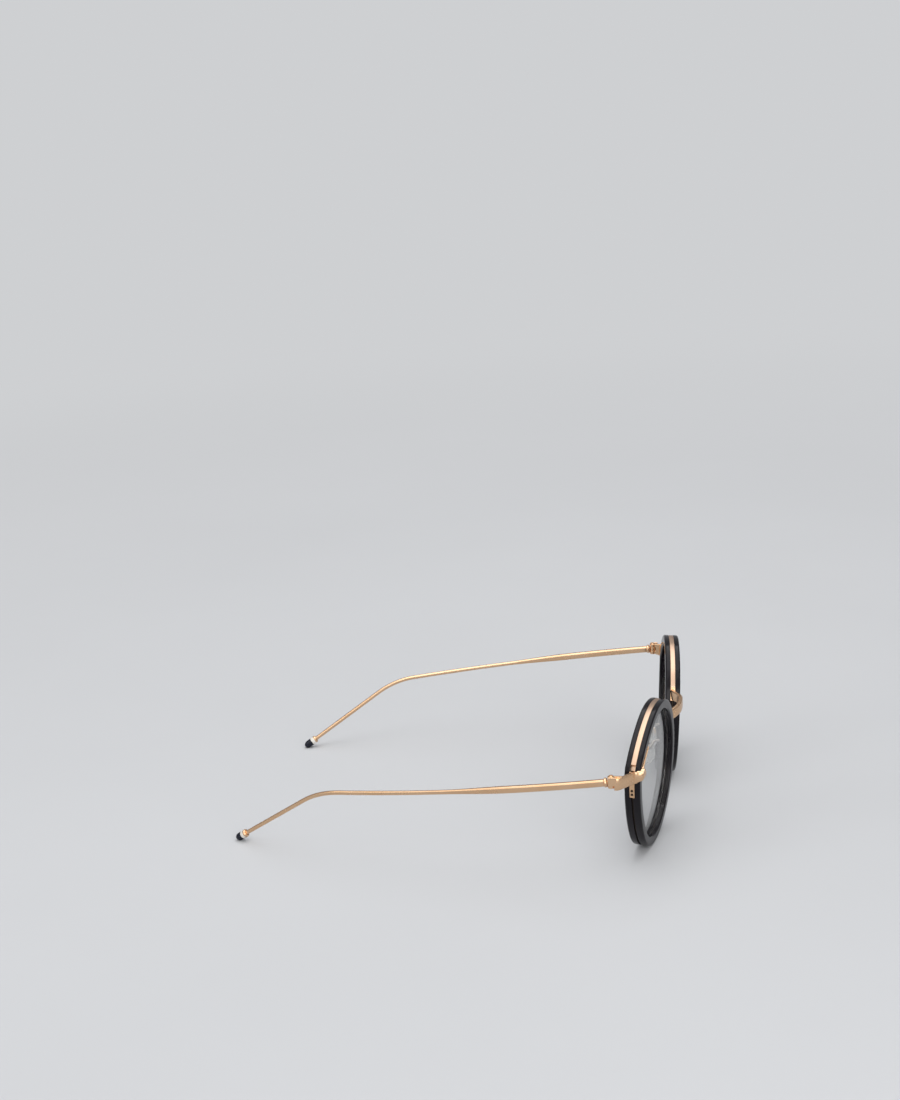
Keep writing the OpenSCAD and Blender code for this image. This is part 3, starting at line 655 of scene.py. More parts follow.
# Widths, reach outside the rim and lower edge go by the angle on the rim
claw = {
    "width": ((34.5, 0.14), (39.7, 0.32), (41.5, 0.65), (43.6, 1.1), (45, 1.6), (46.7, 2.2), (50, 2.4),
              (58.7, 2.8), (66.7, 3.3)),
    "reach": ((64, 0.0), (68, 0.35), (74, 0.7)),
    "low": ((46, 2.65), (58, 2.5), (66, 1.9), (74, 1.2)),
    "rootTurn": 80, "steps": 120, "raise": 0.32, "raiseTurn": 41, "raiseSpan": 14,
    "sink": 0.05, "inner": -0.15,
}
# The lip hides the barrel from outside
lip = {"front": 0.6, "back": 0.95, "low": 0.9, "over": 0.1, "thickness": 0.42, "soft": 0.16}
band = {"sunkTurn": 46.6, "sunkBy": 0.9, "polish": 0.12, "insertPolish": 0.1, "insertTurn": 5}
lock = {"length": 4.0, "thickness": 1.0, "pitch": 1.4, "screwRadius": 0.25, "shank": 1.9, "polish": 0.16,
        "underTurn": 1.5}
bridge = {"height": 3.8, "thickness": 1.5, "level": 11.7, "out": 3.5, "rise": 0.8,
          "frontShare": 0.25, "bendShare": 0.18, "rootShare": 0.85, "cutShare": 0.28}

strapV = arcCentres[2].y
strapTop = strapV + strap["height"] * strap["topShare"]
strapFoot = strapTop - strap["height"]
rootTurns = (cornerTurn(strapTop), sideTurn(strapFoot))
footHeight = bridge["height"] + rim["bandWidth"] / 2
footTurns = (noseTurn(bridge["level"] - footHeight / 2), noseTurn(bridge["level"] + footHeight / 2))
lockTop = strapFoot - lock["length"] / 2
lockTurns = (sideTurn(lockTop), sideTurn(lockTop - lock["length"]))


def lapStations(step):
    # One lap from just before the foot of the bridge. What lies in the channel ends with the plate.
    start = footTurns[0] - 4
    return rimStations(start, start + 360, step, [(footTurns[0], lockTurns[1])])


def layerMesh(flip):
    first, second = ([(x, y * flip) for x, y in section] for section in layerSections())
    return fixMesh(sweep(lapStations(0.45), first, second, crease=32, material="acetate"), 32)


for layer, flip in (("front", 1), ("rear", -1)):
    placePair(f"rimLayer.{layer}", layerMesh(flip), "front", f"{layer}_rim", "acetate")
print("acetate layers made")


# Metal core

def eyewireMesh():
    sink, web, face = rim["webSink"], rim["faceWidth"] - rim["railDepth"], rim["faceWidth"]
    core, rail, groove = rim["coreThickness"] / 2, rim["railThickness"] / 2, rim["grooveDepth"]
    inside = [(-web, core), (-web, rail), (-face, rail), (-face, groove), (groove - face, 0),
              (-face, -groove), (-face, -rail), (-web, -rail), (-web, -core)]
    radii = [0.12, 0.12, 0, 0, 0.12, 0.06, 0.05, 0.06, 0.12, 0, 0]
    plain, sunk = (rounded([(-depth, -core), (-depth, core), *inside], radii, 3)
                   for depth in (sink, rim["bandDepth"] + rim["fit"]))
    return fixMesh(sweep(lapStations(0.6), plain, sunk, crease=30), 30)


def stripSection(depthFrom, depthTo, width, polish):
    w = width / 2
    corners = [(-depthTo, -w), (-depthFrom, -w), (-depthFrom, w), (-depthTo, w)]
    return rounded(corners, [0.02, polish, polish, 0.02], 5)


def stripMesh(turns, step, depths, width, polish, sunkBy=0.0, marks=(), cut=0.06, material="gold"):
    # A strip along the outline between two angles and two depths. Between marks its top is sunk.
    top, foot = depths
    stations = capped(rimStations(*turns, step, marks), cut)
    first, second = (stripSection(depth, foot, width, polish) for depth in (top, top + sunkBy))
    return sweep(stations, first, second, centre=(-(top + foot) / 2, 0), material=material)


def bandMesh():
    # The last stretch before the strap lies deeper
    strip = stripMesh((footTurns[1], rootTurns[0]), 0.4, (rim["bandSink"], rim["bandDepth"]),
                      rim["bandWidth"], band["polish"], band["sunkBy"],
                      [(band["sunkTurn"], rootTurns[0] + 1)], material="bandGold")
    return fixMesh(strip, 35)


def lockMesh():
    # It starts under the strap, as one strip with the plate
    strip = stripMesh((rootTurns[1] - lock["underTurn"], lockTurns[1]), 0.3,
                      (-rim["bandSink"], lock["thickness"]), rim["bandWidth"], lock["polish"], cut=0.2)
    return fixMesh(strip, 35)


# The eyewire's dark finish is painted shade in the seam between the layers and on the inner wall
placePair("eyewire", eyewireMesh(), "front", "eyewire", "coreDark")
placePair("browBand", bandMesh(), "front", "brow_band", "bandGold")
placePair("rimLock", lockMesh(), "front", "rim_lock", "gold")
print("metal core made")


# Lenses

lens = {"gap": 0.05, "thickness": 1.8, "curve": 180.0, "rings": 24, "spokes": 240}


def lensMesh():
    edge, count = rim["faceWidth"] + lens["gap"], lens["rings"]
    bow = lens["curve"] - math.sqrt(lens["curve"] ** 2 - (rimHeight / 2 - edge) ** 2)
    centre = lens["thickness"] / 2 + bow - lens["curve"]
    vee = rim["grooveDepth"] - lens["gap"]
    evenTurns = {arcTurns[0] + 360 / lens["spokes"] * k for k in range(lens["spokes"])}
    turns = sorted(evenTurns | set(arcTurns[:8]))
    back = lens["curve"] - lens["thickness"]

    def domed(k, radius):
        points = [onRim(t, edge) * math.sin(k / count * math.pi / 2) for t in turns]
        return [(*p, centre + math.sqrt(radius ** 2 - p.length_squared)) for p in points]

    rows = [domed(k, lens["curve"]) for k in range(1, count + 1)]
    rows += [[(*onRim(t, edge - inset), w) for t in turns] for inset, w in ((0, vee), (vee, 0.0), (0, -vee))]
    rows += [domed(k, back) for k in range(count, 0, -1)]
    form = bmesh.new()
    rings = [[form.verts.new(fromRim((u, v), w)) for u, v, w in row] for row in rows]
    bridgeRings(form, rings)
    for radius, ring in ((lens["curve"], rings[0]), (back, rings[-1])):
        fanRing(form, ring, form.verts.new(fromRim((0, 0), centre + radius)))
    return newMesh(form)


placePair("lens", lensMesh(), "front", "lens", "lens")
print("lenses made")


# Hinge line and temples

hinge = {"out": 6.8, "back": 6.1, "knuckleRadius": 1.15, "knuckleHeight": 1.3, "frontKnuckle": 1.3,
         "leaf": 0.9, "pin": 0.45, "run": 0.05, "over": 0.6}
temple = {"run": 103.1, "inward": 10.9, "drop": 11.1, "bow": 3.8, "legRun": 34, "legIn": 12.4,
          "height": 2.4, "width": 1.9, "cut": 0.5, "wire": 0.76, "taperFrom": 34, "taperTo": 58,
          "collarRadius": 1.6, "collarThickness": 0.6, "earCut": 8,
          "armSteps": 80, "bendSteps": 20, "legSteps": 10}
tipSize = {"radius": 1.42, "capLength": 1.5, "capEnd": 1.9, "ring": 1.3, "ferrule": 0.9}

reach = plan(rimReach, 0)
hingePlan = (reach[0] + hinge["out"], reach[1] + hinge["back"])
hingePoint = leaned(hingePlan, strapV)
barrel = hinge["knuckleHeight"] + 2 * hinge["frontKnuckle"] + 2 * hinge["run"]
strapOutX = hingePoint.x + hinge["knuckleRadius"]
hingeWall = hingePoint.y - hinge["knuckleRadius"] - 2 * hinge["run"]
ear = hingePoint + Vector((-temple["inward"], temple["run"], -temple["drop"]))
roughLeg = Vector((-temple["legIn"], temple["legRun"], tipSize["radius"] - ear.z))
dip = math.asin(-roughLeg.z / roughLeg.length)
tipRest = math.hypot(tipSize["capEnd"] * math.sin(dip), tipSize["radius"] * math.cos(dip))
tip = ear + Vector((-temple["legIn"], temple["legRun"], tipRest - ear.z))
collarFrom = hinge["knuckleRadius"] + hinge["over"]
collarTo = collarFrom + temple["collarThickness"]
capDepth = tipSize["capLength"] * 0.7
upWay, leftWay = Vector((0, 0, 1)), Vector((1, 0, 0))


def bezier(a, b, c, t):
    return a.lerp(b, t).lerp(b.lerp(c, t), t)


def softPath(points, corners):
    # Each corner is rounded by its own (cut, count)
    out = [points[0]]
    for a, p, b, (cut, count) in zip(points, points[1:], points[2:], corners):
        start, end = p + cut * (a - p).normalized(), p + cut * (b - p).normalized()
        out += [bezier(start, p, end, k / count) for k in range(count + 1)]
    return out + [points[-1]]


def wayAlong(points, i):
    return (points[min(i + 1, len(points) - 1)] - points[max(i - 1, 0)]).normalized()


armSpan = ear - hingePoint
armLength = armSpan.length
armDir = (armSpan + Vector((4 * temple["bow"], 0, 0))).normalized()
bendDir = (armSpan - Vector((4 * temple["bow"], 0, 0))).normalized()
legDir = (tip - ear).normalized()


def armPoint(t):
    return hingePoint.lerp(ear, t) + Vector((temple["bow"] * 4 * t * (1 - t), 0, 0))


def templePath():
    start, end = collarTo / armLength, 1 - temple["earCut"] / armLength
    cut, count = temple["earCut"], temple["armSteps"]
    points = [armPoint(start + (end - start) * i / count) for i in range(count + 1)]
    points += [bezier(ear - cut * bendDir, ear, ear + cut * legDir, k / temple["bendSteps"])
               for k in range(1, temple["bendSteps"] + 1)]
    last = tip - legDir * (tipSize["capLength"] - capDepth)
    return points + [points[-1].lerp(last, k / temple["legSteps"]) for k in range(1, temple["legSteps"] + 1)]


def framed(points, blends=None):
    # Stations with their side level, as the arm's section stands
    rows = []
    for i, p in enumerate(points):
        t = wayAlong(points, i)
        side = upWay.cross(t).normalized()
        rows.append([p, side, t.cross(side), blends[i] if blends else 0.0, 1.0])
    return rows


def ease(t):
    t = min(1, max(0, t))
    return t * t * (3 - 2 * t)


def armMesh():
    points = templePath()
    span = temple["taperTo"] - temple["taperFrom"]
    blends = [ease((p.y - hingePoint.y - temple["taperFrom"]) / span) for p in points]
    box = rounded(boxCorners(temple["width"], temple["height"], temple["cut"]), 0.16, 4)
    wireRing = [p.normalized() * temple["wire"] for p in box]
    return fixMesh(sweep(capped(framed(points, blends), 0.08), box, wireRing, crease=40), 40)


def turned(profile, origin, way, count=96, up=upWay):
    # A profile of (radius, height) spun about a direction
    side = up.cross(way).normalized()
    over = way.cross(side)
    spokes = [math.cos(2 * math.pi * j / count) * side + math.sin(2 * math.pi * j / count) * over
              for j in range(count)]
    form = bmesh.new()
    rings = []
    for radius, height in profile:
        centre = origin + way * height
        used = spokes if radius > 1e-6 else spokes[:1]
        rings.append([form.verts.new(centre + radius * spoke) for spoke in used])
    for a, b in zip(rings, rings[1:] + rings[:1]):
        for j in range(count):
            k = (j + 1) % count
            corners = [a[j % len(a)], a[k % len(a)], b[k % len(b)], b[j % len(b)]]
            corners = [v for i, v in enumerate(corners) if v not in corners[:i]]
            if len(corners) > 2:
                form.faces.new(corners)
    return newMesh(form)


def lathed(corners, radii, steps=5):
    # The softened profile of a solid of revolution
    return [(max(0, p.x), p.y) for p in rounded(corners, radii, steps)]


def tube(outer, inner, low, high, soft):
    # Profile of a ring with softened edges
    return lathed([(inner, low), (outer, low), (outer, high), (inner, high)], [0.01, soft, soft, 0.01], 4)


def collarMesh():
    # A boss on its front fills the space behind the barrel
    high, low = temple["collarThickness"] - rim["fit"], hinge["knuckleRadius"] + 0.12 - collarFrom
    wide = temple["collarRadius"]
    corners = [(0, low), (wide * 0.86, low), (wide, low * 0.3),
               (wide, high * 0.7), (wide * 0.8, high), (0, high)]
    return turned(lathed(corners, [0, 0.2, 0.3, 0.2, 0.2, 0]), hingePoint + collarFrom * armDir, armDir)


def capMesh():
    r, bore, long = tipSize["radius"], temple["wire"] + rim["fit"], tipSize["capLength"]
    floor = capDepth + rim["fit"]
    profile = [(0, floor), (bore, floor), (bore, 0), (r - 0.05, 0), (r, 0.05)]
    for turn in range(0, 90, 4):
        a = math.radians(turn)
        profile.append((r * math.cos(a), long + tipSize["capEnd"] * math.sin(a)))
    profile.append((0, long + tipSize["capEnd"]))
    return turned(profile, tip - legDir * long, legDir)


def tipRingMesh():
    origin = tip - legDir * (tipSize["capLength"] + tipSize["ring"])
    profile = tube(tipSize["radius"], temple["wire"] + rim["fit"], 0, tipSize["ring"], 0.05)
    return turned(profile, origin, legDir)


def ferruleMesh():
    long, bore, r = tipSize["ferrule"], temple["wire"] + rim["fit"], tipSize["radius"]
    origin = tip - legDir * (tipSize["capLength"] + tipSize["ring"] + long)
    corners = [(bore, 0), ((bore + r - rim["fit"]) / 2, 0), (r, long / 2), (r, long), (bore, long)]
    return turned(lathed(corners, [0.01, 0.12, 0.15, 0.04, 0.01]), origin, legDir)


placePair("templeArm", armMesh(), "temple", "temple_arm", "gold")
placePair("templeCollar", collarMesh(), "temple", "temple_collar", "gold")
placePair("tipFerrule", ferruleMesh(), "temple", "tip_ferrule", "gold")
placePair("tipRing", tipRingMesh(), "temple", "tip_ring", "ivory")
placePair("tipCap", capMesh(), "temple", "tip_cap", "navy")
print("temples and tips made")


# Castings: end pieces, hinges, pad arms and inserts

def skin(rows):
    # A closed skin over rows of points, flat at both ends
    form = bmesh.new()
    rings = [[form.verts.new(p) for p in row] for row in rows]
    bridgeRings(form, rings)
    form.faces.new(rings[0][::-1])
    form.faces.new(rings[-1])
    return newMesh(form)


def block(low, high, soft, frame=None):
    # A bar with rounded edges between two corners
    low, high = Vector(low), Vector(high)
    form = bmesh.new()
    where = Matrix.Translation((low + high) / 2) @ Matrix.Diagonal((*(high - low), 1))
    bmesh.ops.create_cube(form, size=1, matrix=where)
    bmesh.ops.bevel(form, geom=form.edges[:], offset=soft, segments=4, profile=0.5, affect="EDGES")
    if frame:
        form.transform(frame)
    return newMesh(form)


def melt(meshes, voxel=0.05, rounds=2):
    # Parts of one casting run together, with softened edges
    obj = addObject("casting", joinMeshes(meshes))
    remesh = obj.modifiers.new("melt", "REMESH")
    remesh.mode = "VOXEL"
    remesh.voxel_size = voxel
    remesh.use_smooth_shade = True
    soften = obj.modifiers.new("soften", "SMOOTH")
    soften.factor = 0.5
    soften.iterations = rounds
    return takeResult(obj)


def frameOf(origin, x, y, z):
    frame = Matrix((x, y, z)).transposed().to_4x4()
    frame.translation = origin
    return frame


def resampled(points, step):
    out = [points[0]]
    for a, b in zip(points, points[1:]):
        count = max(1, math.ceil((b - a).length / step))
        out += [a.lerp(b, k / count) for k in range(1, count + 1)]
    return out


hookRise = strap["height"] * strap["riseShare"]
hookStart = strap["thickness"] + rim["fit"]
hookFront = halfThick + strap["thickness"] + strap["bulge"]


def footAt(w):
    # The strap's lower edge sweeps up towards the front
    share = min(1, max(0, (w - hookStart) / halfThick))
    return min(strapFoot + hookRise * (1 - math.sqrt(1 - share ** 2)), strapTop - 0.1)


def frontAt(v):
    share = min(1, max(0, 1 - (v - strapFoot) / hookRise))
    return min(hookFront, hookStart + (hookFront - hookStart) * math.sqrt(1 - share ** 2))


def between(pairs, x):
    # Straight steps between (place, value) pairs
    if x <= pairs[0][0]:
        return pairs[0][1]
    for (a, low), (b, high) in zip(pairs, pairs[1:]):
        if x <= b:
            return low + (high - low) * (x - a) / (b - a)
    return pairs[-1][1]


def strapMesh():
    thick, mid = strap["thickness"], rimReach - rim["inlay"] + strap["thickness"] / 2
    outX = strapOutX - thick / 2
    corners = [plan(rimReach - rim["faceWidth"], halfThick + thick / 2), plan(mid, halfThick + thick / 2),
               plan(mid, rim["bandWidth"] / 2), (outX, hingePlan[1] - 2 * hinge["knuckleRadius"]),
               (outX, hingePlan[1] - hinge["knuckleRadius"] - 2 * hinge["run"])]
    line = resampled(softPath([Vector(c) for c in corners], [(thick, 8)] * 3), 0.15)
    rows = []
    for i, p in enumerate(line):
        t = wayAlong(line, i)
        across = Vector((t.y, -t.x)) * thick / 2
        row = []
        for share in (1, 0.5, 0, -0.5, -1):
            q = p + across * share
            w = (q.x - rimX) * math.sin(wrapTurn) - q.y * math.cos(wrapTurn)
            row.append(leaned(q, footAt(w)))
        row += [leaned(p + across * share, strapTop) for share in (-1, -0.5, 0, 0.5, 1)]
        # The outer face is cambered, down to the height of the inner face's foot
        for k in range(1, strap["camberSteps"]):
            share = k / strap["camberSteps"]
            bulge = 1 + 2 * strap["camber"] / thick * (1 - abs(1 - 2 * share) ** 2.2)
            row.append(leaned(p + across * bulge, strapTop + (footAt(w) - strapTop) * share))
        row.append(leaned(p + across, footAt(w) + 0.02))
        rows.append(row)
    return skin(rows)


def clawMesh():
    # From the strap over the rim's edge, then up the inner edge of its face to a point
    face, seat, rise = rim["faceWidth"], halfThick - claw["sink"], hookFront - halfThick - claw["raise"]
    rows = []
    for k in range(claw["steps"] + 1):
        turn = claw["rootTurn"] + (claw["width"][0][0] - claw["rootTurn"]) * k / claw["steps"]
        out = between(claw["width"], turn) - face
        if out > -claw["sink"]:
            out = max(out, between(claw["reach"], turn))
        low = min(between(claw["low"], turn), seat)
        inner = min(out, claw["inner"])
        raised = claw["raise"] + rise * ease((turn - claw["raiseTurn"]) / claw["raiseSpan"])

        def front(depth):
            w = frontAt(onRim(turn, depth).y)
            return fromRim(onRim(turn, depth), max(halfThick + 0.02, min(w, halfThick + raised)))

        rows.append([fromRim(onRim(turn, -out), low), front(-out), front((face - out) / 2), front(face),
                     fromRim(onRim(turn, face), seat), fromRim(onRim(turn, -inner), seat),
                     fromRim(onRim(turn, -inner), low)])
    return skin(rows)


def insertMesh():
    # It starts a little lower, so that its end stays under the strap's top
    return stripMesh((rootTurns[0] + band["insertTurn"], rootTurns[1]), 0.3,
                     (-rim["inlay"] - strap["thickness"] / 2, rim["bandDepth"]), rim["bandWidth"],
                     band["insertPolish"])


def lipMesh():
    inner = hingePoint.x + hinge["knuckleRadius"] + hinge["run"]
    top = hingePoint.z + barrel / 2 + lip["over"]
    return block((inner, hingeWall - lip["front"], hingePoint.z - lip["low"]),
                 (inner + lip["thickness"], hingePoint.y + lip["back"], top), lip["soft"])


endPiece = melt([strapMesh(), clawMesh(), insertMesh(), lipMesh()], voxel=0.07, rounds=6)
placePair("endPiece", endPiece, "front", "end_piece", "gold")
print("end pieces made")


def knuckleMesh(low, high):
    r = hinge["knuckleRadius"]
    profile = lathed([(0, low), (r, low), (r, high), (0, high)], [0, 0.14, 0.14, 0])
    return turned(profile, hingePoint, upWay, up=leftWay)


def frontHingeMesh():
    half, r, x = barrel / 2, hinge["knuckleRadius"], strapOutX - strap["thickness"] - hinge["leaf"]
    z = hingePoint.z
    parts = [block((x, hingeWall - 2 * r, z - half), (x + hinge["leaf"] + 0.1, hingeWall, z + half), 0.15)]
    for low in (-half, half - hinge["frontKnuckle"]):
        high = low + hinge["frontKnuckle"]
        parts.append(knuckleMesh(low, high))
        parts.append(block((x, hingeWall - 0.3, z + low), (x + hinge["leaf"], hingePoint.y, z + high), 0.12))
    return melt(parts, rounds=3)


def templeHingeMesh():
    half, w = hinge["knuckleHeight"] / 2, hinge["pin"] + rim["fit"]
    side = upWay.cross(armDir).normalized()
    frame = frameOf(hingePoint, side, armDir.cross(side), armDir)
    tongue = block((-w, -half, 0), (w, half, collarFrom), 0.12, frame)
    return melt([knuckleMesh(-half, half), tongue])


placePair("frontHinge", frontHingeMesh(), "front", "front_hinge", "gold")
placePair("templeHinge", templeHingeMesh(), "temple", "temple_hinge", "gold")
print("hinges made")


# Bridge

def bridgeMesh():
    turn = noseTurn(bridge["level"])
    root, outline = fromRim(onRim(turn, rim["bandDepth"] / 2), 0), onRim(turn)
    lead = fromRim((outline.x - rim["bandWidth"], outline.y), 0)
    front = Vector((rim["noseGap"] * bridge["frontShare"], lead.y - bridge["out"], lead.z + bridge["rise"]))
    other = Vector((-front.x, front.y, front.z))
    half = softPath([root, lead, front, other],
                    [(rim["bandWidth"], 16), (rim["noseGap"] * bridge["bendShare"], 32)])[:-1]
    line = resampled(half + [Vector((-p.x, p.y, p.z)) for p in half[::-1]], 0.5)
    rootThick = rim["bandWidth"] * bridge["rootShare"]
    thin, full = (rounded(boxCorners(w, bridge["height"], rootThick * bridge["cutShare"]), 0.22, 4)
                  for w in (rootThick, bridge["thickness"]))
    blends = [ease((lead.y - p.y) / bridge["out"]) for p in line]
    foot, otherFoot = (stripMesh(footTurns, 0.3, (rim["bandSink"], rim["bandDepth"]), rim["bandWidth"],
                                 band["polish"]) for _ in range(2))
    mirrorMesh(otherFoot)
    strip = sweep(capped(framed(line, blends), 0.1), thin, full, crease=40)
    return fixMesh(joinMeshes([strip, foot, otherFoot]), 40)


place("bridge", bridgeMesh(), "front", ["bridge"], "gold")
print("bridge made")


# Screws: one slotted head, set on points by a Geometry Nodes tree

def makeScrewTree():
    tree, source, sink = newGroup(
        "screwSetter",
        [("Geometry", "Geometry", None), ("Screw", "Object", None),
         ("Head Radius", "Float", 0.5), ("Seed", "Int", 3),
         ("Surface", "Material", None)],
        [("Geometry", "Geometry")],
        "GeometryNodeTree",
    )
    info = addNode(tree, "GeometryNodeObjectInfo", [("Object", source["Screw"])])
    way = addNode(tree, "GeometryNodeInputNamedAttribute", [("Name", "way")], data_type="FLOAT_VECTOR")
    aim = addNode(tree, "FunctionNodeAlignRotationToVector", [
        ("Vector", way.outputs["Attribute"])], axis="Z")
    seated = addNode(tree, "GeometryNodeInstanceOnPoints", [
        ("Points", source["Geometry"]), ("Instance", info.outputs["Geometry"]),
        ("Rotation", aim.outputs["Rotation"]), ("Scale", source["Head Radius"])])
    # Each slot stands at an angle of its own
    turn = addNode(tree, "FunctionNodeRandomValue", [
        ("Seed", source["Seed"]), (2, 0.2), (3, 2.9)], data_type="FLOAT")
    angles = addNode(tree, "ShaderNodeCombineXYZ", [("Z", turn.outputs[1])])
    spin = addNode(tree, "FunctionNodeEulerToRotation", [("Euler", angles.outputs[0])])
    spun = addNode(tree, "GeometryNodeRotateInstances", [
        ("Instances", seated.outputs[0]), ("Rotation", spin.outputs[0]), ("Local Space", True)])
    real = addNode(tree, "GeometryNodeRealizeInstances", [("Geometry", spun.outputs[0])])
    surface = addNode(tree, "GeometryNodeSetMaterial", [
        ("Geometry", real.outputs["Geometry"]), ("Material", source["Surface"])])
    wire(tree, surface.outputs["Geometry"], sink["Geometry"])
    return tree


def headMesh():
    # Head radius 1, seated at height 0
    profile = lathed([(0, 0), (1, 0), (1, 0.36), (0.6, 0.47), (0, 0.47)], [0, 0.05, 0.12, 0.1, 0])
    head = addObject("head", turned(profile, Vector((0, 0, 0)), upWay, count=64, up=leftWay))
    tool = addObject("slot", block((-1.4, -0.15, 0.24), (1.4, 0.15, 0.9), 0.04))
    cut = head.modifiers.new("slot", "BOOLEAN")
    cut.operation = "DIFFERENCE"
    cut.object = tool
    cut.solver = "EXACT"
    return fixMesh(takeResult(head, (tool,)), 30)


screwTree = makeScrewTree()
screwHead = headMesh()


def screwMesh(seats, headRadius, shankRadius, shank, seed):
    # seats are (place of the head's seat, way out of the head)
    head = addObject("screwHead", screwHead.copy())
    points = pointObject("seats", [p for p, _ in seats])
    addAttribute(points, "way", "FLOAT_VECTOR", [way for _, way in seats])
    runTree(points, screwTree, {
        "Screw": head, "Head Radius": headRadius, "Seed": seed, "Surface": materials["gold"]})
    parts = [takeResult(points, (head,))]
    for p, way in seats:
        helper = upWay if abs(way.z) < 0.9 else leftWay
        profile = [(0, -shank), (shankRadius, -shank), (shankRadius, 0.02), (0, 0.02)]
        parts.append(turned(profile, p, way, count=48, up=helper))
    return fixMesh(joinMeshes(parts), 30)


def lockScrewsMesh():
    seats = []
    for s in (-1, 1):
        turn = sideTurn(lockTop - lock["length"] / 2 + s * lock["pitch"] / 2)
        seats.append((fromRim(onRim(turn, -rim["bandSink"]), 0), outward(turn).normalized()))
    return screwMesh(seats, 1.8 * lock["screwRadius"], lock["screwRadius"], lock["shank"], 3)


hingeSeat = (hingePoint + upWay * barrel / 2, upWay)
hingeScrew = screwMesh([hingeSeat], 1.7 * hinge["pin"], hinge["pin"], barrel, 7)
placePair("hingeScrew", hingeScrew, "front", "hinge_screw", "gold")
placePair("lockScrews", lockScrewsMesh(), "front", "lock_screws", "coreDark")
print("screws made")


# Nose pads

pad = {"length": 13, "width": 7, "thickness": 2.4, "x": 7.7, "y": 4.2, "level": -1, "splay": 25, "flare": 15,
       "wire": 0.5, "pin": 0.3, "soft": 0.28, "rings": 12}
padFrame = Matrix.Translation((pad["x"], pad["y"], rimZ + pad["level"]))
for turn, axis in ((-pad["flare"], "Y"), (-90 - pad["splay"], "Z"), (90, "X")):
    padFrame = padFrame @ Matrix.Rotation(math.radians(turn), 4, axis)
padAcross, padUp, padOut = padFrame.to_3x3().transposed()
padSmall, padBig = pad["width"] * 0.36, pad["width"] / 2
padTopY, padLowY = pad["length"] / 2 - padSmall, padBig - pad["length"] / 2
padTurn = math.degrees(math.asin((padBig - padSmall) / (padTopY - padLowY)))
insertRadius, insertThick = pad["width"] * 0.24, pad["thickness"] * 0.2
lugWidth, lugRadius = pad["pin"] * 3, pad["pin"] * 2.3
pinLevel = -pad["pin"] * 5
cheek = pad["pin"] * 1.5
boxBack = pinLevel - lugRadius - 2 * hinge["run"]
boxOut = lugWidth / 2 + hinge["run"] + cheek


def padLine(inset):
    line = []
    for count, height, radius, start, end in ((24, padTopY, padSmall, 90 - padTurn, padTurn - 90),
                                              (40, padLowY, padBig, padTurn - 90, -270 - padTurn)):
        for k in range(count + 1):
            line.append(Vector((0, height)) + (radius - inset) * heading(start + (end - start) * k / count))
    return line


def onPad(level):
    return padFrame @ Vector((0, 0, level))


def padMesh():
    soft, dome, turns = pad["soft"], pad["length"], [math.radians(a) for a in (0, 22, 45, 68, 90)]

    def domed(p, under=0.0):
        return (p.x, p.y, pad["thickness"] - dome + math.sqrt(dome ** 2 - p.length_squared) - under)

    floor = insertThick + rim["fit"]
    bore = [p.normalized() * (insertRadius + rim["fit"]) for p in padLine(0)]
    rows = [[(*p, floor) for p in bore], [(*p, 0) for p in bore], [(*p, 0) for p in padLine(soft * 1.3)]]
    rows += [[(*p, soft * (1 - math.cos(a))) for p in padLine(soft * (1 - math.sin(a)))]
             for a in turns[1:]]
    rows += [[domed(p, soft * (1 - math.sin(a))) for p in padLine(soft * (1 - math.cos(a)))]
             for a in turns[:-1]]
    rows += [[domed(p * k / pad["rings"]) for p in padLine(soft)] for k in range(pad["rings"], 0, -1)]
    form = bmesh.new()
    rings = [[form.verts.new(padFrame @ Vector(p)) for p in row] for row in rows]
    bridgeRings(form, rings)
    for ring, level in ((rings[0], floor), (rings[-1], pad["thickness"])):
        fanRing(form, ring, form.verts.new(onPad(level)))
    return newMesh(form, 50)


def padTurned(profile, level, way):
    return turned(profile, onPad(level), way, count=64, up=padUp)


def padInsertMesh():
    half, r = lugWidth / 2, insertRadius
    plate = lathed([(0, 0), (r, 0), (r, insertThick), (0, insertThick)], [0, 0.1, 0.1, 0], 4)
    lug = [(0, -half), (lugRadius, -half), (lugRadius, half), (0, half)]
    web = block((-half, -lugRadius, pinLevel), (half, lugRadius, insertThick / 2), 0.08, padFrame)
    return melt([padTurned(plate, 0, padOut), padTurned(lug, pinLevel, padAcross), web])


def padArmMesh():
    # A wire from the eyewire, bowed back to the box that holds the pad's lug
    wireRadius = pad["wire"]
    level = pad["level"] + pad["length"] * 0.25
    outline = onRim(noseTurn(level))
    root, out = fromRim(outline, 0), fromRim((outline.x - 3 * wireRadius, outline.y), 0)
    boxFloor = boxBack - cheek
    box = onPad(boxBack - cheek / 2)
    loop = Vector((out.x - wireRadius, halfThick / 2, out.z + (box.z - out.z) * 0.3))
    line = softPath([root, out, loop, onPad(boxFloor - 2 * wireRadius), box], [(wireRadius * 1.6, 12)] * 3)
    circle = [wireRadius * heading(90 - 15 * k) for k in range(24)]
    tall = wireRadius * 6
    foot = (noseTurn(level - tall / 2), noseTurn(level + tall / 2))
    parts = [sweep(capped(framed(resampled(line, 0.3)), 0.05), circle),
             stripMesh(foot, 0.3, (-rim["bandSink"], rim["webSink"] - rim["fit"]),
                       rim["coreThickness"], 0.08),
             block((-boxOut, -lugRadius, boxFloor), (boxOut, lugRadius, boxBack), 0.1, padFrame)]
    top = pinLevel + lugRadius
    for x in (-boxOut, boxOut - cheek):
        parts.append(block((x, -lugRadius, boxFloor), (x + cheek, lugRadius, top), 0.1, padFrame))
    return melt(parts)


def padScrewMesh():
    seat = padFrame @ Vector((boxOut + rim["fit"], 0, pinLevel))
    return screwMesh([(seat, padAcross)], pad["pin"] * 1.8, pad["pin"], 2 * boxOut, 5)


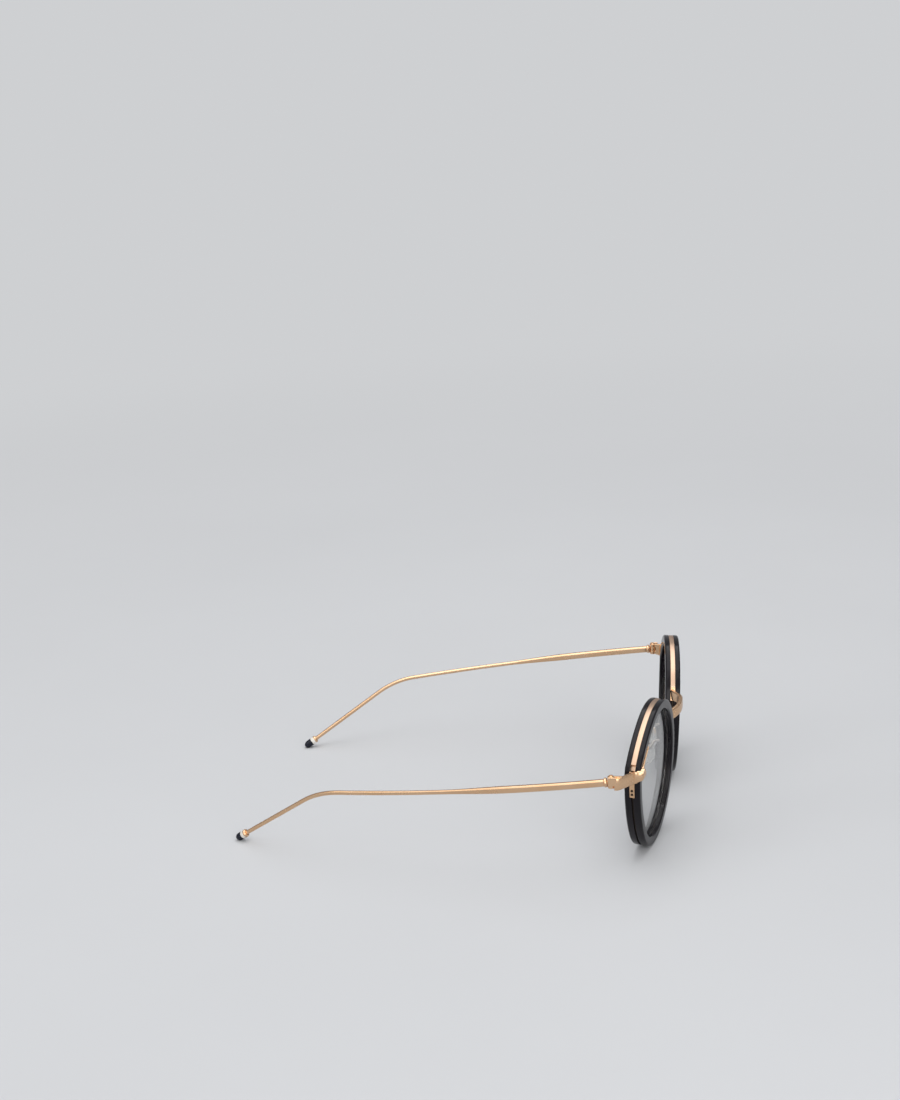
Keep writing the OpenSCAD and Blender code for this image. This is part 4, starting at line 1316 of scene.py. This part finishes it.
placePair("nosePad", padMesh(), "pad", "nose_pad", "silicone")
placePair("padInsert", padInsertMesh(), "pad", "pad_insert", "gold")
placePair("padArm", padArmMesh(), "front", "pad_arm", "padWire")
placePair("padScrew", padScrewMesh(), "front", "pad_screw", "gold")
print("nose pads made")


# Stage and light

studio = {
    "paper": (0.60, 0.612, 0.632),
    "paperInGloss": 0.75,
    "horizon": (0.62, 0.63, 0.645),
    "fadeFrom": 0.22, "fadeTo": 1.1,
    "skyDark": (0.30, 0.305, 0.32), "skyBright": (0.80, 0.78, 0.75),
    "brightWay": (-0.80, -0.28, 0.53), "skyFrom": 0.25, "skyTo": 0.95,
    "floorReach": 12.0,
    "lamps": [
        # name, place, aim, size, power
        ("topSoft", (0.05, 0.10, 1.45), (0.0, 0.06, 0.0), (2.2, 2.0), 10.5),
        ("farSoft", (0.75, 0.0, 1.7), (1.2, 0.0, 0.0), (1.2, 2.4), 8.0),
        ("leftSoft", (-0.60, 0.95, 0.55), (0.0, 0.05, 0.02), (0.5, 0.9), 2.0),
        ("cameraSoft", (-0.80, -0.30, 0.40), (0.0, 0.03, 0.02), (0.9, 0.5), 2.8),
    ],
}


def makePaper(look):
    material, tree, shader = newMaterial("studioPaper")
    shade = addNode(tree, "ShaderNodeGroup", [
        ("First", (*look["paper"], 1)), ("Second", (*(c * 0.97 for c in look["paper"]), 1)),
        ("Size", 3), ("Fine Size", 40), ("Fine", 0.1)], node_tree=slowShade)
    rays = addNode(tree, "ShaderNodeLightPath")
    dimmed = addNode(tree, "ShaderNodeMapRange", [
        ("Value", rays.outputs["Is Glossy Ray"]), ("To Min", 1.0), ("To Max", look["paperInGloss"])])
    # Far from the lamps the camera sees the paper fade into the tone of the horizon
    coords = addNode(tree, "ShaderNodeTexCoord").outputs["Object"]
    far = addVectorMath(tree, "LENGTH", coords, out="Value")
    fade = addRange(tree, far, look["fadeFrom"], look["fadeTo"], interpolation_type="SMOOTHSTEP")
    seen = addMath(tree, "MULTIPLY", fade, rays.outputs["Is Camera Ray"])
    kept = addMath(tree, "MULTIPLY", dimmed.outputs["Result"], addMath(tree, "SUBTRACT", 1.0, seen))
    wire(tree, addScaled(tree, shade.outputs["Color"], kept), shader.inputs["Base Color"])
    wire(tree, seen, shader.inputs["Emission Strength"])
    for label, value in (("Emission Color", (*look["horizon"], 1)), ("Roughness", 0.9),
                         ("Specular IOR Level", 0.0)):
        shader.inputs[label].default_value = value
    return material


def addStage(look):
    # One wide floor that runs out to the horizon
    r = look["floorReach"]
    mesh = bpy.data.meshes.new("floor")
    mesh.from_pydata([(-r, -r, 0), (r, -r, 0), (r, r, 0), (-r, r, 0)], [], [(0, 1, 2, 3)])
    mesh.materials.append(makePaper(look))
    floor = addObject("floor", mesh)
    # A sky that is brightest over the camera. The camera itself sees the tone of the horizon.
    world = bpy.data.worlds.new("studio")
    bpy.context.scene.world = world
    world.use_nodes = True
    tree = world.node_tree
    sky = next(n for n in tree.nodes if n.type == "BACKGROUND")
    coords = addNode(tree, "ShaderNodeTexCoord").outputs["Generated"]
    towards = addVectorMath(tree, "DOT_PRODUCT", coords, look["brightWay"], out="Value")
    spread = addRange(tree, towards, look["skyFrom"], look["skyTo"], interpolation_type="SMOOTHSTEP")
    rays = addNode(tree, "ShaderNodeLightPath")
    tone = addNode(tree, "ShaderNodeMix", [
        ("Factor", spread), (6, (*look["skyDark"], 1)), (7, (*look["skyBright"], 1))], data_type="RGBA")
    seen = addNode(tree, "ShaderNodeMix", [
        ("Factor", rays.outputs["Is Camera Ray"]), (6, tone.outputs[2]), (7, (*look["horizon"], 1))],
        data_type="RGBA")
    wire(tree, seen.outputs[2], sky.inputs["Color"])
    for name, where, aim, size, power in look["lamps"]:
        data = bpy.data.lights.new(name, "AREA")
        data.shape = "RECTANGLE"
        data.size, data.size_y = size
        data.energy = power
        lamp = addObject(name, data)
        lamp.location = where
        lamp.rotation_euler = (Vector(aim) - Vector(where)).to_track_quat("-Z", "Y").to_euler()


addStage(studio)
bpy.context.scene.view_settings.view_transform = "Standard"
print("stage and light set")

# Carried-over nodes take their finish
slotFinish = {"acetate": "acetate", "gold": "gold", "lens": "lens", "pad": "silicone",
              "tip_ivory": "ivory", "tip_navy": "navy"}
slotOf = {s["node"]: s["material_slot"] for s in frame["record"]["subparts"]}
for name, node in frame["nodes"].items():
    if not node.hide_render:
        node.data.materials.clear()
        node.data.materials.append(materials[slotFinish[slotOf[name]]])
